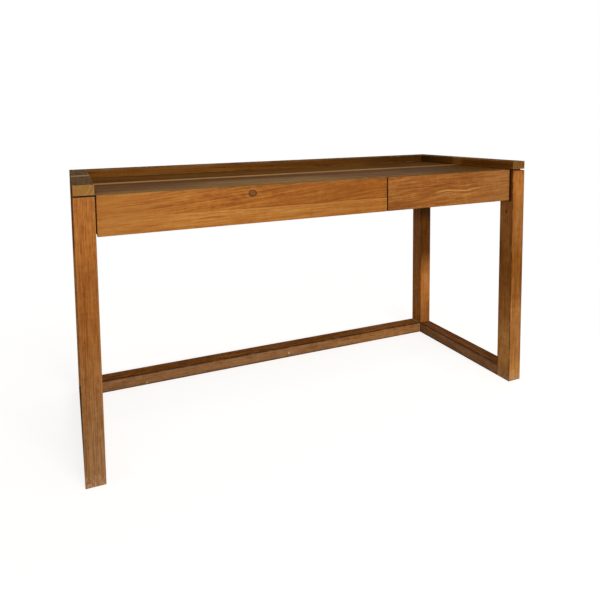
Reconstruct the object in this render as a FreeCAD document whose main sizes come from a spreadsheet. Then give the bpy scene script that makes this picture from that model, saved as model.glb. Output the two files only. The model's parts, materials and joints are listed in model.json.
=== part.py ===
import FreeCAD, Part
import os
import re
from types import SimpleNamespace

import Sketcher

# A writing desk on two sled frames: square legs with rails on the floor, a stretcher at the back,
# a top with a low gallery on three sides, and a long and a short drawer side by side under it.
# +X is to the sitter's right, +Y to the back, +Z up. The origin is on the floor, at the middle.

# Driving sizes in millimetres: name, size, what it measures
DRIVING = (
    ("overall_width", 1420, "outer face of the left legs to outer face of the right legs"),
    ("overall_depth", 500, "front face of the front legs to back face of the back legs"),
    ("overall_height", 750, "floor to the gallery's top"),
    ("leg_width", 50, "side of a square leg, and width of the rails in line with it"),
    ("edge_round", 1.5, "radius of the eased arrises"),
    ("floor_rail_rise", 40, "height of the floor rails and the stretcher"),
    ("tenon_thick", 15, "thickness of the floor rails' and the stretcher's tenons"),
    ("tenon_wall", 2, "wood left in a leg between two tenons that meet there"),
    ("tenon_shoulder", 8, "shoulder above and below a tenon"),
    ("joint_clear", 0.2, "room for glue round a tenon, a tongue or a housed end"),
    ("gallery_rise", 26, "height of the gallery rails"),
    ("gallery_gap", 4, "shadow gap between the leg tops and the gallery"),
    ("gap_setback", 9, "how far the gap's spacers and the top's edge stand back"),
    ("top_thick", 22, "thickness of the top's boards"),
    ("top_clear", 0.5, "room between the top's notches and the legs"),
    ("front_board_width", 200, "width of the top's front board"),
    ("stave_width", 36, "width of the pale stave in the top"),
    ("apron_thick", 22, "thickness of the aprons"),
    ("apron_setback", 5, "how far the aprons stand back from the legs' outer faces"),
    ("apron_tenon", 10, "thickness of the aprons' tenons"),
    ("cleat_width", 20, "side of the square cleats under the top"),
    ("front_rail_rise", 16, "height of the rail under the top's front edge"),
    ("front_rail_width", 45, "width of that rail, front to back"),
    ("stub_tenon", 10, "length and thickness of that rail's stub tenons"),
    ("stub_shoulder", 3, "shoulder above and below a stub tenon"),
    ("front_rise", 102, "height of the drawer fronts"),
    ("front_thick", 20, "thickness of the drawer fronts"),
    ("front_recess", 11, "how far the drawer fronts stand back from the legs' front faces"),
    ("front_drop", 2, "how far the drawer fronts' top edges lie below the desk's surface"),
    ("front_clear", 1, "gap behind the closed drawer fronts"),
    ("long_front_width", 832, "width of the long drawer's front"),
    ("reveal", 3, "gap beside and between the drawer fronts"),
    ("front_lap", 5, "how far a drawer front's end laps past the drawer's side"),
    ("finger_lip", 12, "how far the fronts hang below the drawers, for the fingers"),
    ("divider_thick", 18, "thickness of the board between the drawers"),
    ("divider_drop", 46, "height of that board below the front rail"),
    ("guide_rise", 57, "height of the packing that carries the outer runners"),
    ("side_clear", 1, "gap between a drawer's side and what carries its runner"),
    ("runner_rise", 14, "height of a runner"),
    ("groove_depth", 7, "depth of a drawer side's groove for its runner"),
    ("groove_stop", 5, "how far the groove runs on past the runner's front end"),
    ("glide_clear", 0.4, "sliding room round a runner"),
    ("drawer_headroom", 4, "gap between the drawers and the front rail"),
    ("drawer_back_gap", 60, "gap between the drawers and the back apron"),
    ("drawer_side_thick", 15, "thickness of the drawers' sides"),
    ("drawer_back_thick", 12, "thickness of the drawers' backs"),
    ("drawer_back_inset", 8, "how far a drawer's back stands in from its sides' ends"),
    ("housing_depth", 6, "how far a side is let into the front, and a back into the sides"),
    ("bottom_thick", 5, "thickness of the drawers' plywood bottoms"),
    ("bottom_inset", 6, "height of the bottom above the sides' lower edges"),
    ("bottom_groove", 5, "depth of the grooves that hold the bottom"),
    ("stop_length", 60, "length of a drawer stop"),
    ("stop_thick", 15, "thickness of a drawer stop, front to back"),
    ("stop_catch", 10, "how far a stop hangs below a drawer back's top edge"),
    ("screw_shank", 4, "diameter of the wood screws"),
    ("screw_head", 8, "diameter of their countersunk heads"),
    ("screw_head_depth", 3, "depth of their countersunk heads"),
    ("top_screw_length", 30, "length of the screws that hold the top down"),
    ("guide_screw_length", 40, "length of the screws through the packing"),
    ("runner_screw_length", 18, "length of the screws through the runners"),
    ("stop_screw_length", 42, "length of the screws through the stops"),
    ("stop_screw_spacing", 30, "distance between a stop's two screws"),
    ("divider_screw_length", 42, "length of the screws into the divider"),
    ("divider_screw_spacing", 20, "distance between two of those screws"),
    ("bottom_screw_length", 18, "length of the screws through the drawer bottoms"),
    ("screw_pitch", 150, "about how far apart the screws along the desk's depth are"),
    ("wide_screw_pitch", 300, "about how far apart the screws along the desk's width are"),
    ("screw_stagger", 25, "offset of the runner screws on the divider's other face"),
    ("dowel_width", 8, "diameter of the dowels"),
    ("dowel_pitch", 250, "about how far apart the gallery's dowels are"),
    ("dowel_sink", 16, "depth of a dowel below the desk's surface"),
    ("dowel_rise", 14, "height of a dowel above the desk's surface"),
    ("corner_dowel_reach", 16, "depth of a corner dowel in each gallery rail"),
    ("corner_dowel_spacing", 20, "distance between the two dowels of a corner"),
    ("bore_clear", 0.1, "room round a screw or a dowel"),
)

# Sizes and places that follow from those
WORKED = (
    ("half_width", "overall_width / 2", "right legs' outer faces"),
    ("front_y", "-overall_depth / 2", "front legs' front faces"),
    ("back_y", "overall_depth / 2", "back legs' back faces"),
    ("leg_in_x", "half_width - leg_width", "right legs' inner faces"),
    ("leg_front_y", "front_y + leg_width", "front legs' back faces"),
    ("leg_back_y", "back_y - leg_width", "back legs' front faces"),
    ("surface_z", "overall_height - gallery_rise", "desk's surface"),
    ("leg_rise", "surface_z - gallery_gap", "leg tops"),
    ("under_z", "surface_z - top_thick", "underside of the top"),
    ("tenon_length", "(leg_width - tenon_thick) / 2 - tenon_wall", "length of a full tenon"),
    ("apron_out_x", "half_width - apron_setback", "right apron's outer face"),
    ("apron_in_x", "apron_out_x - apron_thick", "right apron's inner face"),
    ("apron_out_y", "back_y - apron_setback", "back apron's outer face"),
    ("apron_in_y", "apron_out_y - apron_thick", "back apron's inner face"),
    ("top_x", "half_width - gap_setback", "top's right edge"),
    ("top_back_y", "back_y - gap_setback", "top's back edge"),
    ("front_face_y", "front_y + front_recess", "drawer fronts' front faces"),
    ("front_back_y", "front_face_y + front_thick", "drawer fronts' back faces"),
    ("top_front_y", "front_back_y + front_clear", "front edge of the top and of the front rail"),
    ("stave_y", "top_front_y + front_board_width", "front edge of the pale stave"),
    ("rail_back_y", "top_front_y + front_rail_width", "back edge of the front rail"),
    ("rail_low_z", "under_z - front_rail_rise", "underside of the front rail"),
    ("front_top_z", "surface_z - front_drop", "drawer fronts' top edges"),
    ("front_low_z", "front_top_z - front_rise", "drawer fronts' lower edges, and the aprons'"),
    ("box_low_z", "front_low_z + finger_lip", "drawer sides' lower edges"),
    ("box_top_z", "rail_low_z - drawer_headroom", "drawer sides' top edges"),
    ("box_back_y", "apron_in_y - drawer_back_gap", "drawer sides' back ends"),
    ("runner_z", "(box_low_z + box_top_z) / 2", "middle height of the runners"),
    ("runner_thick", "side_clear + groove_depth - glide_clear", "runner's thickness"),
    ("bottom_z", "box_low_z + bottom_inset", "underside of the drawer bottoms"),
    ("bottom_top_z", "bottom_z + bottom_thick", "upper face of the drawer bottoms"),
    ("drawer_back_y", "box_back_y - drawer_back_inset", "drawer backs' back faces"),
    ("drawer_rear_y", "drawer_back_y - drawer_back_thick", "drawer backs' front faces"),
    ("guide_x", "leg_in_x - reveal - front_lap + side_clear", "right packing's inner face"),
    ("guide_top_z", "front_low_z + guide_rise", "packing's top edge, above the aprons' lower edges"),
    ("divider_x", "-leg_in_x + 1.5 * reveal + long_front_width", "middle of the divider"),
    ("divider_low_z", "rail_low_z - divider_drop", "divider's lower edge"),
    ("cleat_z", "under_z - cleat_width", "undersides of the cleats"),
    ("stop_z", "box_top_z - stop_catch", "undersides of the drawer stops"),
)

doc = FreeCAD.newDocument("writing_desk")
sheet = doc.addObject("Spreadsheet::Sheet", "sizes")


def fill_sheet():
    """Writes each driving size as a plain number and each worked-out one as a formula."""
    rows = [(name, str(number), note) for name, number, note in DRIVING]
    rows += [(name, "=" + formula, note) for name, formula, note in WORKED]
    for row, (name, content, note) in enumerate(rows, start=1):
        sheet.set(f"A{row}", name)
        sheet.set(f"B{row}", content)
        sheet.setAlias(f"B{row}", name)
        sheet.set(f"C{row}", note)
    doc.recompute()
    return SimpleNamespace(**{name: float(sheet.get(name)) for name, content, note in rows})


size = fill_sheet()
parts = {}
corners = {}


def bound(text):
    """The text as an expression, with the sheet named before each size."""
    return re.sub(r"[a-z][a-z_]+", lambda word: "sizes." + word.group(), text)


def less(text, other):
    """Expression for the first length minus the second."""
    return f"({text}) - ({other})"


def more(text, other):
    """Expression for the sum of two lengths."""
    return f"({text}) + ({other})"


def place(thing, path, point):
    """Binds a placement's three lengths to the point's expressions."""
    for axis, text in zip("xyz", point):
        thing.setExpression(f"{path}.Base.{axis}", bound(text))


def sided(sign, inner, outer):
    """Low and high X of a piece from inner to outer on the right, or of its mirror image on the left."""
    if sign > 0:
        return inner, outer
    return f"-({outer})", f"-({inner})"


def rectangle(body, name, low, high):
    """A rectangle sketched at the height of low, from low to high in plan."""
    sketch = body.newObject("Sketcher::SketchObject", name)
    plane = next(part for part in body.Origin.OriginFeatures if part.Role == "XY_Plane")
    sketch.AttachmentSupport = [(plane, "")]
    sketch.MapMode = "FlatFace"
    place(sketch, "AttachmentOffset", [less(text, own) for text, own in zip(low, corners[body.Name])])
    points = [FreeCAD.Vector(x, y, 0) for x, y in ((0, 0), (1, 0), (1, 1), (0, 1))]
    directions = ("Horizontal", "Vertical", "Horizontal", "Vertical")
    for side, start in enumerate(points):
        sketch.addGeometry(Part.LineSegment(start, points[(side + 1) % len(points)]), False)
    for side, direction in enumerate(directions):
        sketch.addConstraint(Sketcher.Constraint("Coincident", side, 2, (side + 1) % len(points), 1))
        sketch.addConstraint(Sketcher.Constraint(direction, side))
    sketch.addConstraint(Sketcher.Constraint("Coincident", 0, 1, -1, 1))
    for kind, side, axis in (("DistanceX", 0, 0), ("DistanceY", 1, 1)):
        number = sketch.addConstraint(Sketcher.Constraint(kind, side, 1, side, 2, 1))
        sketch.renameConstraint(number, kind.lower())
        sketch.setExpression(f"Constraints.{kind.lower()}", bound(less(high[axis], low[axis])))
    return sketch


def pad(body, name, low, high):
    """Adds the block from low to high to a body."""
    feature = body.newObject("PartDesign::Pad", name)
    feature.Profile = rectangle(body, name + "_outline", low, high)
    feature.setExpression("Length", bound(less(high[2], low[2])))
    return feature


def pocket(body, name, low, high, clear="0"):
    """Cuts the block from low to high, with a clearance all round, out of a body."""
    low = [less(text, clear) for text in low]
    high = [more(text, clear) for text in high]
    feature = body.newObject("PartDesign::Pocket", name)
    feature.Profile = rectangle(body, name + "_outline", low, high)
    feature.Reversed = True
    feature.setExpression("Length", bound(less(high[2], low[2])))


def board(label, low, high, eased=False):
    """A sawn board from low to high, with all its arrises eased where it shows."""
    body = doc.addObject("PartDesign::Body", label)
    corners[label] = low
    place(body, "Placement", low)
    blank = pad(body, label + "_blank", low, high)
    if eased:
        arrises = body.newObject("PartDesign::Fillet", label + "_arrises")
        arrises.Base = (blank, ["Edge1"])
        arrises.UseAllEdges = True
        arrises.setExpression("Radius", bound("edge_round"))
    parts[label] = body
    return body


def tenon(rail, leg, low, high):
    """A tenon on the rail, and its mortise in the leg."""
    pad(rail, f"{rail.Name}_tenon_to_{leg.Name}", low, high)
    pocket(leg, f"{leg.Name}_mortise_for_{rail.Name}", low, high, "joint_clear")


# Legs, and the floor rails and the stretcher between them
SIDES = (("left", -1), ("right", 1))
ENDS = (("front", "front_y", "leg_front_y"), ("back", "leg_back_y", "back_y"))


def leg(side, sign, end, low_y, high_y):
    low_x, high_x = sided(sign, "leg_in_x", "half_width")
    return board(f"{side}_{end}_leg", (low_x, low_y, "0"), (high_x, high_y, "leg_rise"), eased=True)


legs = {(side, end[0]): leg(side, sign, *end) for side, sign in SIDES for end in ENDS}
TENON_LOW = "tenon_shoulder"
TENON_TOP = "floor_rail_rise - tenon_shoulder"


def floor_rail(side, sign):
    """A rail on the floor, tenoned between a front and a back leg."""
    low_x, high_x = sided(sign, "leg_in_x", "half_width")
    rail = board(f"{side}_floor_rail", (low_x, "leg_front_y", "0"),
                 (high_x, "leg_back_y", "floor_rail_rise"), eased=True)
    inner = "(leg_in_x + half_width - tenon_thick) / 2"
    outer = "(leg_in_x + half_width + tenon_thick) / 2"
    low_x, high_x = sided(sign, inner, outer)
    tenon(rail, legs[side, "front"], (low_x, "leg_front_y - tenon_length", TENON_LOW),
          (high_x, "leg_front_y", TENON_TOP))
    tenon(rail, legs[side, "back"], (low_x, "leg_back_y", TENON_LOW),
          (high_x, "leg_back_y + tenon_length", TENON_TOP))


def back_stretcher():
    """The rail on the floor between the back legs."""
    rail = board("back_stretcher", ("-leg_in_x", "leg_back_y", "0"),
                 ("leg_in_x", "back_y", "floor_rail_rise"), eased=True)
    low_y = "(leg_back_y + back_y - tenon_thick) / 2"
    high_y = "(leg_back_y + back_y + tenon_thick) / 2"
    for side, sign in SIDES:
        low_x, high_x = sided(sign, "leg_in_x", "leg_in_x + tenon_length")
        tenon(rail, legs[side, "back"], (low_x, low_y, TENON_LOW), (high_x, high_y, TENON_TOP))


for side, sign in SIDES:
    floor_rail(side, sign)
back_stretcher()

# Aprons that tie the legs under the top, and the flat rail under its front edge
APRON_TENON_LOW = "front_low_z + tenon_shoulder"
APRON_TENON_TOP = "under_z - tenon_shoulder"


def side_apron(side, sign):
    low_x, high_x = sided(sign, "apron_in_x", "apron_out_x")
    apron = board(f"{side}_side_apron", (low_x, "leg_front_y", "front_low_z"),
                  (high_x, "leg_back_y", "under_z"), eased=True)
    inner = "(apron_in_x + apron_out_x - apron_tenon) / 2"
    outer = "(apron_in_x + apron_out_x + apron_tenon) / 2"
    low_x, high_x = sided(sign, inner, outer)
    tenon(apron, legs[side, "front"], (low_x, "leg_front_y - tenon_length", APRON_TENON_LOW),
          (high_x, "leg_front_y", APRON_TENON_TOP))
    tenon(apron, legs[side, "back"], (low_x, "leg_back_y", APRON_TENON_LOW),
          (high_x, "leg_back_y + tenon_length", APRON_TENON_TOP))


def back_apron():
    apron = board("back_apron", ("-leg_in_x", "apron_in_y", "front_low_z"),
                  ("leg_in_x", "apron_out_y", "under_z"), eased=True)
    low_y = "(apron_in_y + apron_out_y - apron_tenon) / 2"
    high_y = "(apron_in_y + apron_out_y + apron_tenon) / 2"
    for side, sign in SIDES:
        low_x, high_x = sided(sign, "leg_in_x", "leg_in_x + tenon_length")
        tenon(apron, legs[side, "back"], (low_x, low_y, APRON_TENON_LOW), (high_x, high_y, APRON_TENON_TOP))


def front_top_rail():
    rail = board("front_top_rail", ("-leg_in_x", "top_front_y", "rail_low_z"),
                 ("leg_in_x", "rail_back_y", "under_z"))
    low_y = "(top_front_y + leg_front_y - stub_tenon) / 2"
    high_y = "(top_front_y + leg_front_y + stub_tenon) / 2"
    for side, sign in SIDES:
        low_x, high_x = sided(sign, "leg_in_x", "leg_in_x + stub_tenon")
        tenon(rail, legs[side, "front"], (low_x, low_y, "rail_low_z + stub_shoulder"),
              (high_x, high_y, "under_z - stub_shoulder"))


for side, sign in SIDES:
    side_apron(side, sign)
back_apron()
front_top_rail()

# The top, glued up from boards and notched round the legs, and the cleats under it


def top_board(label, low_y, high_y, notch_low_y=None, notch_high_y=None):
    """One board of the top, with a notch at each end where a leg stands."""
    body = board(label, ("-top_x", low_y, "under_z"), ("top_x", high_y, "surface_z"))
    if notch_low_y:
        for side, sign in SIDES:
            low_x, high_x = sided(sign, "leg_in_x - top_clear", "half_width")
            pocket(body, f"{label}_{side}_notch", (low_x, notch_low_y, "under_z"),
                   (high_x, notch_high_y, "surface_z"))


top_board("top_front_board", "top_front_y", "stave_y", "front_y", "leg_front_y + top_clear")
top_board("top_pale_stave", "stave_y", "stave_y + stave_width")
top_board("top_back_board", "stave_y + stave_width", "top_back_y", "leg_back_y - top_clear", "back_y")
for side, sign in SIDES:
    low_x, high_x = sided(sign, "apron_in_x - cleat_width", "apron_in_x")
    board(f"{side}_cleat", (low_x, "leg_front_y", "cleat_z"), (high_x, "leg_back_y", "under_z"))
board("back_cleat", ("-leg_in_x", "apron_in_y - cleat_width", "cleat_z"),
      ("leg_in_x", "apron_in_y", "under_z"))

# The gallery on three sides of the top, and the spacers that hold it off the leg tops
for side, sign in SIDES:
    low_x, high_x = sided(sign, "leg_in_x", "half_width")
    board(f"{side}_gallery_rail", (low_x, "front_y", "surface_z"),
          (high_x, "back_y", "overall_height"), eased=True)
board("back_gallery_rail", ("-leg_in_x", "leg_back_y", "surface_z"),
      ("leg_in_x", "back_y", "overall_height"), eased=True)


def leg_top_spacers():
    """Four thin blocks on the leg tops, standing back from the outer faces."""
    blocks = []
    for side, sign in SIDES:
        low_x, high_x = sided(sign, "leg_in_x", "top_x")
        for end, low_y, high_y in (("front", "front_y + gap_setback", "leg_front_y"),
                                   ("back", "leg_back_y", "top_back_y")):
            block = doc.addObject("Part::Box", f"{side}_{end}_spacer")
            place(block, "Placement", (low_x, low_y, "leg_rise"))
            block.setExpression("Length", bound(less(high_x, low_x)))
            block.setExpression("Width", bound(less(high_y, low_y)))
            block.setExpression("Height", bound("gallery_gap"))
            blocks.append(block)
    group = doc.addObject("Part::Compound", "leg_top_spacers")
    group.Links = blocks
    parts["leg_top_spacers"] = group


leg_top_spacers()

# The divider between the drawers, and the packing that brings the outer runners in past the legs


def drawer_divider():
    low_x = "divider_x - divider_thick / 2"
    high_x = "divider_x + divider_thick / 2"
    divider = board("drawer_divider", (low_x, "top_front_y", "divider_low_z"),
                    (high_x, "apron_in_y", "under_z"))
    pocket(divider, "divider_front_notch", (low_x, "top_front_y", "rail_low_z"),
           (high_x, "rail_back_y", "under_z"))
    pocket(divider, "divider_back_notch", (low_x, "apron_in_y - cleat_width", "cleat_z"),
           (high_x, "apron_in_y", "under_z"))


drawer_divider()
for side, sign in SIDES:
    low_x, high_x = sided(sign, "guide_x", "apron_in_x")
    board(f"{side}_drawer_guide", (low_x, "leg_front_y", "front_low_z"),
          (high_x, "leg_back_y", "guide_top_z"))

# The drawers with their runners and stops. A drawer's limits in X are the faces that carry its
# runners and the two ends of its front.
DRAWERS = (
    ("long_drawer", "-guide_x", "divider_x - divider_thick / 2",
     "-leg_in_x + reveal", "divider_x - reveal / 2"),
    ("short_drawer", "divider_x + divider_thick / 2", "guide_x",
     "divider_x + reveal / 2", "leg_in_x - reveal"),
)


def runner(drawer, side, low_x, high_x):
    board(f"{drawer}_{side}_runner", (low_x, "leg_front_y", "runner_z - runner_rise / 2"),
          (high_x, "leg_back_y", "runner_z + runner_rise / 2"))


def drawer_side(drawer, side, low_x, high_x, groove_low_x, groove_high_x, inner_low_x, inner_high_x):
    """A side with the runner's groove outside, and grooves for the bottom and the back inside."""
    label = f"{drawer}_{side}_side"
    body = board(label, (low_x, "front_back_y - housing_depth", "box_low_z"),
                 (high_x, "box_back_y", "box_top_z"))
    pocket(body, f"{label}_runner_groove",
           (groove_low_x, "leg_front_y - groove_stop", "runner_z - runner_rise / 2 - glide_clear"),
           (groove_high_x, "box_back_y", "runner_z + runner_rise / 2 + glide_clear"))
    pocket(body, f"{label}_bottom_groove",
           (inner_low_x, "front_back_y - housing_depth", "bottom_z - joint_clear"),
           (inner_high_x, "box_back_y", "bottom_top_z + joint_clear"))
    pocket(body, f"{label}_back_housing", (inner_low_x, "drawer_rear_y - joint_clear", "bottom_z"),
           (inner_high_x, "drawer_back_y + joint_clear", "box_top_z"))


def drawer(name, left_face, right_face, front_left, front_right):
    """Front, sides, back and bottom of a drawer, with its runners and its stop."""
    runner(name, "left", left_face, more(left_face, "runner_thick"))
    runner(name, "right", less(right_face, "runner_thick"), right_face)
    left = more(left_face, "side_clear")
    right = less(right_face, "side_clear")
    left_in = more(left, "drawer_side_thick")
    right_in = less(right, "drawer_side_thick")
    drawer_side(name, "left", left, left_in, left, more(left, "groove_depth"),
                less(left_in, "bottom_groove + joint_clear"), left_in)
    drawer_side(name, "right", right_in, right, less(right, "groove_depth"), right,
                right_in, more(right_in, "bottom_groove + joint_clear"))
    board(f"{name}_back", (less(left_in, "bottom_groove"), "drawer_rear_y", "bottom_top_z"),
          (more(right_in, "bottom_groove"), "drawer_back_y", "box_top_z"))
    board(f"{name}_bottom", (less(left_in, "bottom_groove"), "front_back_y - bottom_groove", "bottom_z"),
          (more(right_in, "bottom_groove"), "drawer_back_y", "bottom_top_z"))
    front = board(f"{name}_front", (front_left, "front_face_y", "front_low_z"),
                  (front_right, "front_back_y", "front_top_z"), eased=True)
    for side, low_x, high_x in (("left", left, left_in), ("right", right_in, right)):
        pocket(front, f"{name}_front_{side}_housing", (low_x, "front_back_y - housing_depth", "box_low_z"),
               (high_x, "front_back_y", "box_top_z"), "joint_clear")
    pocket(front, f"{name}_front_bottom_groove", (left_in, "front_back_y - bottom_groove", "bottom_z"),
           (right_in, "front_back_y", "bottom_top_z"), "joint_clear")
    middle = f"(({left_face}) + ({right_face})) / 2"
    board(f"{name}_stop", (less(middle, "stop_length / 2"), "rail_back_y", "stop_z"),
          (more(middle, "stop_length / 2"), "rail_back_y + stop_thick", "under_z"))


for row in DRAWERS:
    drawer(*row)

# Screws and dowels. Each kind is one group of separate solids, and its bores are cut in what it joins.
AXES = {"+X": (1, 0, 0), "-X": (-1, 0, 0), "-Y": (0, -1, 0), "+Z": (0, 0, 1), "-Z": (0, 0, -1)}


def screw(length, clear=0.0):
    """A countersunk wood screw along +Z from the flat of its head, or the bore for one."""
    shank_radius = size.screw_shank / 2 + clear
    head = Part.makeCone(size.screw_head / 2 + clear, shank_radius, size.screw_head_depth)
    return head.fuse(Part.makeCylinder(shank_radius, length + clear)).removeSplitter()


def dowel(length, clear=0.0):
    """A dowel along +Z from its end, or the bore for one."""
    return Part.makeCylinder(size.dowel_width / 2 + clear, length + 2 * clear, FreeCAD.Vector(0, 0, -clear))


def spread(low, high, pitch):
    """Two or more places, evenly spaced along a length and about a pitch apart."""
    count = max(2, round((high - low) / pitch))
    return [low + (number + 0.5) * (high - low) / count for number in range(count)]


def pieces(shape, places):
    """Copies of a shape that points along +Z, each turned to its direction at its place."""
    copies = []
    for point, direction in places:
        turn = FreeCAD.Rotation(FreeCAD.Vector(0, 0, 1), FreeCAD.Vector(*AXES[direction]))
        copies.append(shape.copy())
        copies[-1].Placement = FreeCAD.Placement(FreeCAD.Vector(*point), turn)
    return Part.makeCompound(copies)


def fasten(label, make, length, places, joined):
    """Puts fasteners at their places, and bores the parts that they join."""
    group = doc.addObject("Part::Feature", label)
    group.Shape = pieces(make(length), places)
    bores = doc.addObject("Part::Feature", label + "_bores")
    bores.Shape = pieces(make(length, size.bore_clear), places)
    for name in joined:
        bored = doc.addObject("Part::Cut", f"{name}_bored_for_{label}")
        bored.Base = parts[name]
        bored.Tool = bores
        parts[name] = bored
    parts[label] = group


def top_screws():
    """Screws up through the cleats and the front rail into the top."""
    bays = ((-size.leg_in_x, size.divider_x - size.divider_thick / 2),
            (size.divider_x + size.divider_thick / 2, size.leg_in_x))
    along_x = [x for low, high in bays for x in spread(low, high, size.wide_screw_pitch)]
    along_y = spread(size.leg_front_y, size.leg_back_y, size.screw_pitch)
    cleat_x = size.apron_in_x - size.cleat_width / 2
    cleat_y = size.apron_in_y - size.cleat_width / 2
    rail_y = (size.top_front_y + size.rail_back_y) / 2
    places = [(x, y, size.cleat_z) for x in (-cleat_x, cleat_x) for y in along_y]
    places += [(x, cleat_y, size.cleat_z) for x in along_x]
    places += [(x, rail_y, size.rail_low_z) for x in along_x]
    fasten("top_screws", screw, size.top_screw_length, [(point, "+Z") for point in places],
           ("left_cleat", "right_cleat", "back_cleat", "front_top_rail",
            "top_front_board", "top_pale_stave", "top_back_board"))


def guide_screws():
    """Screws through the packing into the side aprons, above the runners."""
    height = (size.runner_z + size.runner_rise / 2 + size.guide_top_z) / 2
    along = spread(size.leg_front_y, size.leg_back_y, size.screw_pitch)
    places = [((sign * size.guide_x, y, height), "+X" if sign > 0 else "-X")
              for side, sign in SIDES for y in along]
    fasten("guide_screws", screw, size.guide_screw_length, places,
           ("left_drawer_guide", "right_drawer_guide", "left_side_apron", "right_side_apron"))


def runner_screws():
    """Screws through the runners into the packing and the divider."""
    along = spread(size.leg_front_y, size.leg_back_y, size.screw_pitch)
    reach = size.divider_thick / 2
    rows = ((-size.guide_x, 1, 0), (size.divider_x - reach, -1, 0),
            (size.divider_x + reach, 1, size.screw_stagger), (size.guide_x, -1, 0))
    places = [((face + inward * size.runner_thick, y + shift, size.runner_z), "-X" if inward > 0 else "+X")
              for face, inward, shift in rows for y in along]
    fasten("runner_screws", screw, size.runner_screw_length, places,
           ("long_drawer_left_runner", "long_drawer_right_runner", "short_drawer_left_runner",
            "short_drawer_right_runner", "left_drawer_guide", "right_drawer_guide", "drawer_divider"))


def stop_screws():
    """Two screws up through each drawer stop into the top."""
    half = size.divider_thick / 2
    middles = ((-size.guide_x + size.divider_x - half) / 2, (size.divider_x + half + size.guide_x) / 2)
    y = size.rail_back_y + size.stop_thick / 2
    places = [((middle + step * size.stop_screw_spacing / 2, y, size.stop_z), "+Z")
              for middle in middles for step in (-1, 1)]
    fasten("stop_screws", screw, size.stop_screw_length, places,
           ("long_drawer_stop", "short_drawer_stop", "top_front_board"))


def divider_screws():
    """Two screws down through the front rail and two through the back apron, into the divider."""
    rail_y = (size.top_front_y + size.rail_back_y) / 2
    end_z = (size.divider_low_z + size.cleat_z) / 2
    steps = (-size.divider_screw_spacing / 2, size.divider_screw_spacing / 2)
    places = [((size.divider_x, rail_y + step, size.under_z), "-Z") for step in steps]
    places += [((size.divider_x, size.apron_out_y, end_z + step), "-Y") for step in steps]
    fasten("divider_screws", screw, size.divider_screw_length, places,
           ("front_top_rail", "drawer_divider", "back_apron"))


def drawer_screws(name, left_face, right_face):
    """Screws up through a drawer's bottom into its back."""
    inset = size.side_clear + size.drawer_side_thick
    along = spread(left_face + inset, right_face - inset, size.wide_screw_pitch)
    y = (size.drawer_rear_y + size.drawer_back_y) / 2
    fasten(f"{name}_screws", screw, size.bottom_screw_length, [((x, y, size.bottom_z), "+Z") for x in along],
           (f"{name}_bottom", f"{name}_back"))


def gallery_dowels():
    """Upright dowels that pin the gallery to the legs and to the top."""
    leg_x = size.half_width - size.leg_width / 2
    leg_y = size.back_y - size.leg_width / 2
    edge_x = (size.leg_in_x + size.top_x) / 2
    edge_y = (size.leg_back_y + size.top_back_y) / 2
    spots = [(x, y) for x in (-leg_x, leg_x) for y in (-leg_y, leg_y)]
    along_x = spread(-size.leg_in_x, size.leg_in_x, size.dowel_pitch)
    along_y = spread(size.leg_front_y, size.leg_back_y, size.dowel_pitch)
    spots += [(x, y) for x in (-edge_x, edge_x) for y in along_y]
    spots += [(x, edge_y) for x in along_x]
    low_z = size.surface_z - size.dowel_sink
    joined = [f"{side}_{end}_leg" for side, end in legs]
    joined += ["leg_top_spacers", "top_front_board", "top_back_board"]
    joined += ["left_gallery_rail", "right_gallery_rail", "back_gallery_rail"]
    fasten("gallery_dowels", dowel, size.dowel_sink + size.dowel_rise,
           [((x, y, low_z), "+Z") for x, y in spots], joined)


def corner_dowels():
    """Level dowels that pin the back gallery rail to the side ones."""
    height = size.surface_z + size.gallery_rise / 2
    low_x = size.leg_in_x - size.corner_dowel_reach
    steps = (-size.corner_dowel_spacing / 2, size.corner_dowel_spacing / 2)
    places = [((sign * low_x, (size.leg_back_y + size.back_y) / 2 + step, height), "+X" if sign > 0 else "-X")
              for side, sign in SIDES for step in steps]
    fasten("corner_dowels", dowel, 2 * size.corner_dowel_reach, places,
           ("left_gallery_rail", "right_gallery_rail", "back_gallery_rail"))


top_screws()
guide_screws()
runner_screws()
stop_screws()
divider_screws()
drawer_screws("long_drawer", -size.guide_x, size.divider_x - size.divider_thick / 2)
drawer_screws("short_drawer", size.divider_x + size.divider_thick / 2, size.guide_x)
gallery_dowels()
corner_dowels()
doc.recompute()


def label_parts():
    """Gives each finished part its own name, and what it was made from another."""
    for thing in doc.Objects:
        if thing.Label in parts and parts[thing.Label] is not thing:
            thing.Label = thing.Name + "_blank_board"
    for label, thing in parts.items():
        thing.Label = label


def check():
    """Stops if an object failed or a part's shape isn't sound."""
    for thing in doc.Objects:
        if "Invalid" in thing.State or "Error" in thing.State:
            raise RuntimeError(f"{thing.Name} failed: {thing.State}")
    for label, thing in parts.items():
        if thing.Shape.isNull() or not thing.Shape.isValid() or not thing.Shape.Solids:
            raise RuntimeError(f"{label} has no sound shape")
    for thing in doc.Objects:
        if thing.TypeId == "PartDesign::Pocket" and thing.Shape.Volume >= thing.BaseFeature.Shape.Volume:
            raise RuntimeError(f"{thing.Name} cuts nothing")


label_parts()
check()
os.makedirs("parts", exist_ok=True)
for label, thing in parts.items():
    thing.Shape.exportStep(f"parts/{label}.step")
travel = size.drawer_rear_y - size.rail_back_y - size.stop_thick
print(f"{len(parts)} parts, drawer travel to the stops {travel:.1f} mm")
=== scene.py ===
# %% [markdown]
# # A teak writing desk with a low gallery
#
# The desk stands on two sled frames with rails on the floor. Its top has a low rail on three sides,
# and two plain drawers slide under it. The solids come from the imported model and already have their
# joints, so this lesson gives them what a solid can't: wood that was cut from a tree, oil and wear,
# screws with a thread and a cross recess, soft light and the photograph's view.

# %% Load the solids
import json
import math

import bmesh
import bpy
from mathutils import Matrix, Vector


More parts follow.
